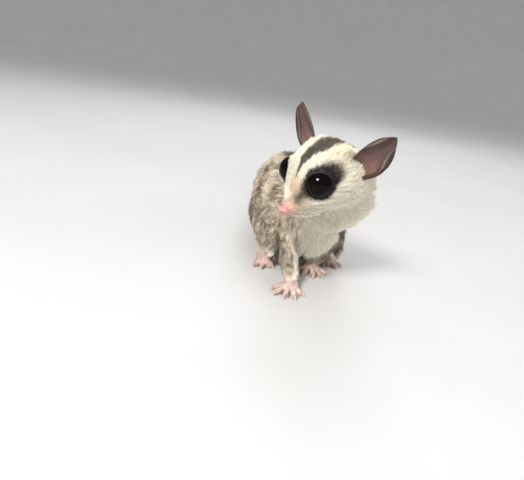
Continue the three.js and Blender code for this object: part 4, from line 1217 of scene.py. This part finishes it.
def build_tufts(name, picked, lines, way, shades, uv, steps):
    """One joined piece of three sided tufts, closed at the root and drawn out to a point."""
    n, levels = len(picked), len(steps) - 1
    line, normal = lines[picked], root_normal[picked]
    side = unit(np.cross(normal, way[picked]))
    half = root_size[picked, 2] * (0.75 + 0.5 * own_random[picked, 3])
    tangent = unit(np.gradient(line, axis=1))
    over = np.cross(tangent, side[:, None])
    points, own = np.empty((2, n, levels * 3 + 1, 3))
    for k in range(levels):
        full = half * (1 - steps[k] ** 2 * 0.55) * (0.8 if k == 0 else 1)
        for j, (across, up, lean, rise) in enumerate(TUFT_CORNERS):
            points[:, k * 3 + j] = (line[:, k] + side * (full * across)[:, None]
                                    + unit(over[:, k]) * (full * up)[:, None])
            own[:, k * 3 + j] = side * lean + over[:, k] * rise
    points[:, -1], own[:, -1] = line[:, -1], over[:, -1]
    points[..., 2] = np.maximum(points[..., 2], 0.03)
    faces = [[0, 2, 1]]
    for k in range(0, levels * 3 - 3, 3):
        faces += [[k + j, k + (j + 1) % 3, k + 3 + (j + 1) % 3, k + 3 + j] for j in range(3)]
    last = (levels - 1) * 3
    faces += [[last + j, last + (j + 1) % 3, last + 3] for j in range(3)]
    flat = np.concatenate(faces)
    index = (flat[None] + (np.arange(n) * points.shape[1])[:, None]).ravel()
    piece = make_mesh(name, in_frame(points.reshape(-1, 3)), index, np.tile([len(face) for face in faces], n))
    # colours from root to tip
    low, middle, tip = (shade[picked] for shade in shades)
    tint = np.empty_like(points)
    for k, s in enumerate(steps):
        value = mix(low, middle, s / 0.45) if s < 0.45 else mix(middle, tip, (s - 0.45) / 0.55)
        tint[:, k * 3:k * 3 + 3] = value[:, None]
    set_colours(piece, tint.reshape(-1, 3))
    # each tuft is a small patch of the map, across and along
    corner = np.array([[across, k / levels] for k in range(levels) for across in (-0.5, 0.5, 0)] + [[0, 1]])
    layer = piece.data.uv_layers.new(name="OFBake")
    patch = (uv[:, None] + corner * 0.003)[:, flat]
    layer.data.foreach_set("uv", patch.astype(np.float32).ravel())
    # soft shading: the tuft's own roundness on the lie of the skin
    soft = unit(unit(own) * 0.55 + normal[:, None] * 0.85)
    piece.data.normals_split_custom_set_from_vertices(soft.reshape(-1, 3))
    dress(piece, COAT_HAIR)


def build_coat():
    chart, place = chart_places()
    shades = tuft_colours()
    root_region = root_weights.argmax(1)
    short, long = (0.0, 0.45, 1.0), (0.0, 0.3, 0.65, 1.0)
    groups = (("fur_head", "cream_fur", ["head"], 10, short),
              ("fur_body", "grey_fur", ["neck", "trunk"], 10, short),
              ("fur_limb", "grey_fur", ["arm", "forearm", "thigh", "shank", "paw", "membrane"], 10, short),
              ("fur_tail", "tail_fur", ["tail"], 16, long))
    for name, slot, regions, each, steps in groups:
        lines, way = tuft_lines(steps)
        chosen = np.flatnonzero(np.isin(root_region, [REGIONS.index(part) for part in regions]))
        chosen = chosen[np.argsort(root[chosen, 1], kind="stable")]
        parts = math.ceil(len(chosen) * each / MOST_TRIANGLES)
        for k, picked in enumerate(np.array_split(chosen, parts)):
            uv = uv_in_piece(picked, chart, place)
            build_tufts(f"{name}_{k + 1}", picked, lines, way, shades, uv, steps)


build_coat()


# Stage, lights and camera

def build_stage():
    # flat round the animal, and turned up far away so that no edge shows
    reach, height = np.transpose([[0, 0], [0.5, 0], [1.4, 0], [2, 0], [2.4, 0.05], [2.7, 0.17], [2.95, 0.38],
                                  [3.12, 0.7], [3.2, 1.2], [3.2, 2.6], [0, 2.6]])[..., None]
    turn = np.linspace(0, AROUND, 72, endpoint=False)
    rings = np.stack([reach * np.cos(turn), reach * np.sin(turn), height + 0 * turn], -1)
    points, faces = closed_tube(rings)
    plane = outward(make_mesh("floor", points[:-1], [face for face in faces if len(points) - 1 not in face]))
    made, tree, inputs = material("floor", Roughness=0.7)
    ramp_node(tree, noise_node(tree, 9), inputs["Base Color"], (0.3, 0.56), (0.7, 0.59))
    plane.data.materials.append(made)
    world = bpy.data.worlds.new("world")
    world.use_nodes = True
    background = world.node_tree.nodes["Background"].inputs
    background["Color"].default_value = (0.93, 0.93, 0.92, 1)
    background["Strength"].default_value = 0.3
    bpy.context.scene.world = world
    bpy.context.scene.view_settings.view_transform = "Standard"


def area_light(name, way, width, watts, tint=(1, 1, 1), glint=False):
    """A round lamp that shines on the face from a place given from it in metres."""
    face = in_frame(HEAD_PLACE)
    lamp = bpy.data.lights.new(name, "AREA")
    lamp.shape, lamp.size, lamp.energy, lamp.color = "DISK", width, watts, tint
    light = bpy.data.objects.new(name, lamp)
    light.location = face + way
    # only the glint is mirrored in the eyes, and it lights nothing else
    light.visible_glossy, light.visible_diffuse = glint, not glint
    light.rotation_euler = (Vector(face) - Vector(face + way)).to_track_quat("-Z", "Y").to_euler()
    bpy.context.scene.collection.objects.link(light)


def build_camera():
    away = math.cos(CAMERA_PITCH)
    look = np.array([-math.sin(CAMERA_YAW) * away, math.cos(CAMERA_YAW) * away, -math.sin(CAMERA_PITCH)])
    right = unit(np.cross(look, [0, 0, 1]))
    down = np.cross(look, right)
    c, s = math.cos(CAMERA_ROLL), math.sin(CAMERA_ROLL)
    lens = bpy.data.cameras.new("camera")
    lens.sensor_width = SENSOR
    lens.lens = FOCAL_PIXELS * SENSOR / PICTURE_WIDTH
    lens.shift_y = (CENTRE_ROW - PICTURE_HEIGHT / 2) / PICTURE_WIDTH
    lens.clip_start = 0.005
    camera = bpy.data.objects.new("camera", lens)
    turn = Matrix(np.stack([c * right - s * down, -(s * right + c * down), -look], axis=1).tolist()).to_4x4()
    camera.matrix_world = Matrix.Translation(in_frame(CAMERA_PLACE)) @ turn
    bpy.context.scene.collection.objects.link(camera)
    bpy.context.scene.camera = camera


build_stage()
KEY_WAY = np.array([-0.42, -0.5, 0.55])
area_light("key", KEY_WAY, 0.22, 7.6, (1, 0.97, 0.93))
area_light("glint", 0.8 * KEY_WAY, 0.22, 13, glint=True)
area_light("fill", [0.6, -0.35, 0.25], 0.6, 1.6, (1, 0.96, 0.94))
area_light("back", [0.2, 0.7, 0.6], 0.4, 2.6, (0.97, 0.98, 1))
area_light("top", [0, 0, 2.3], 4.0, 46)
build_camera()
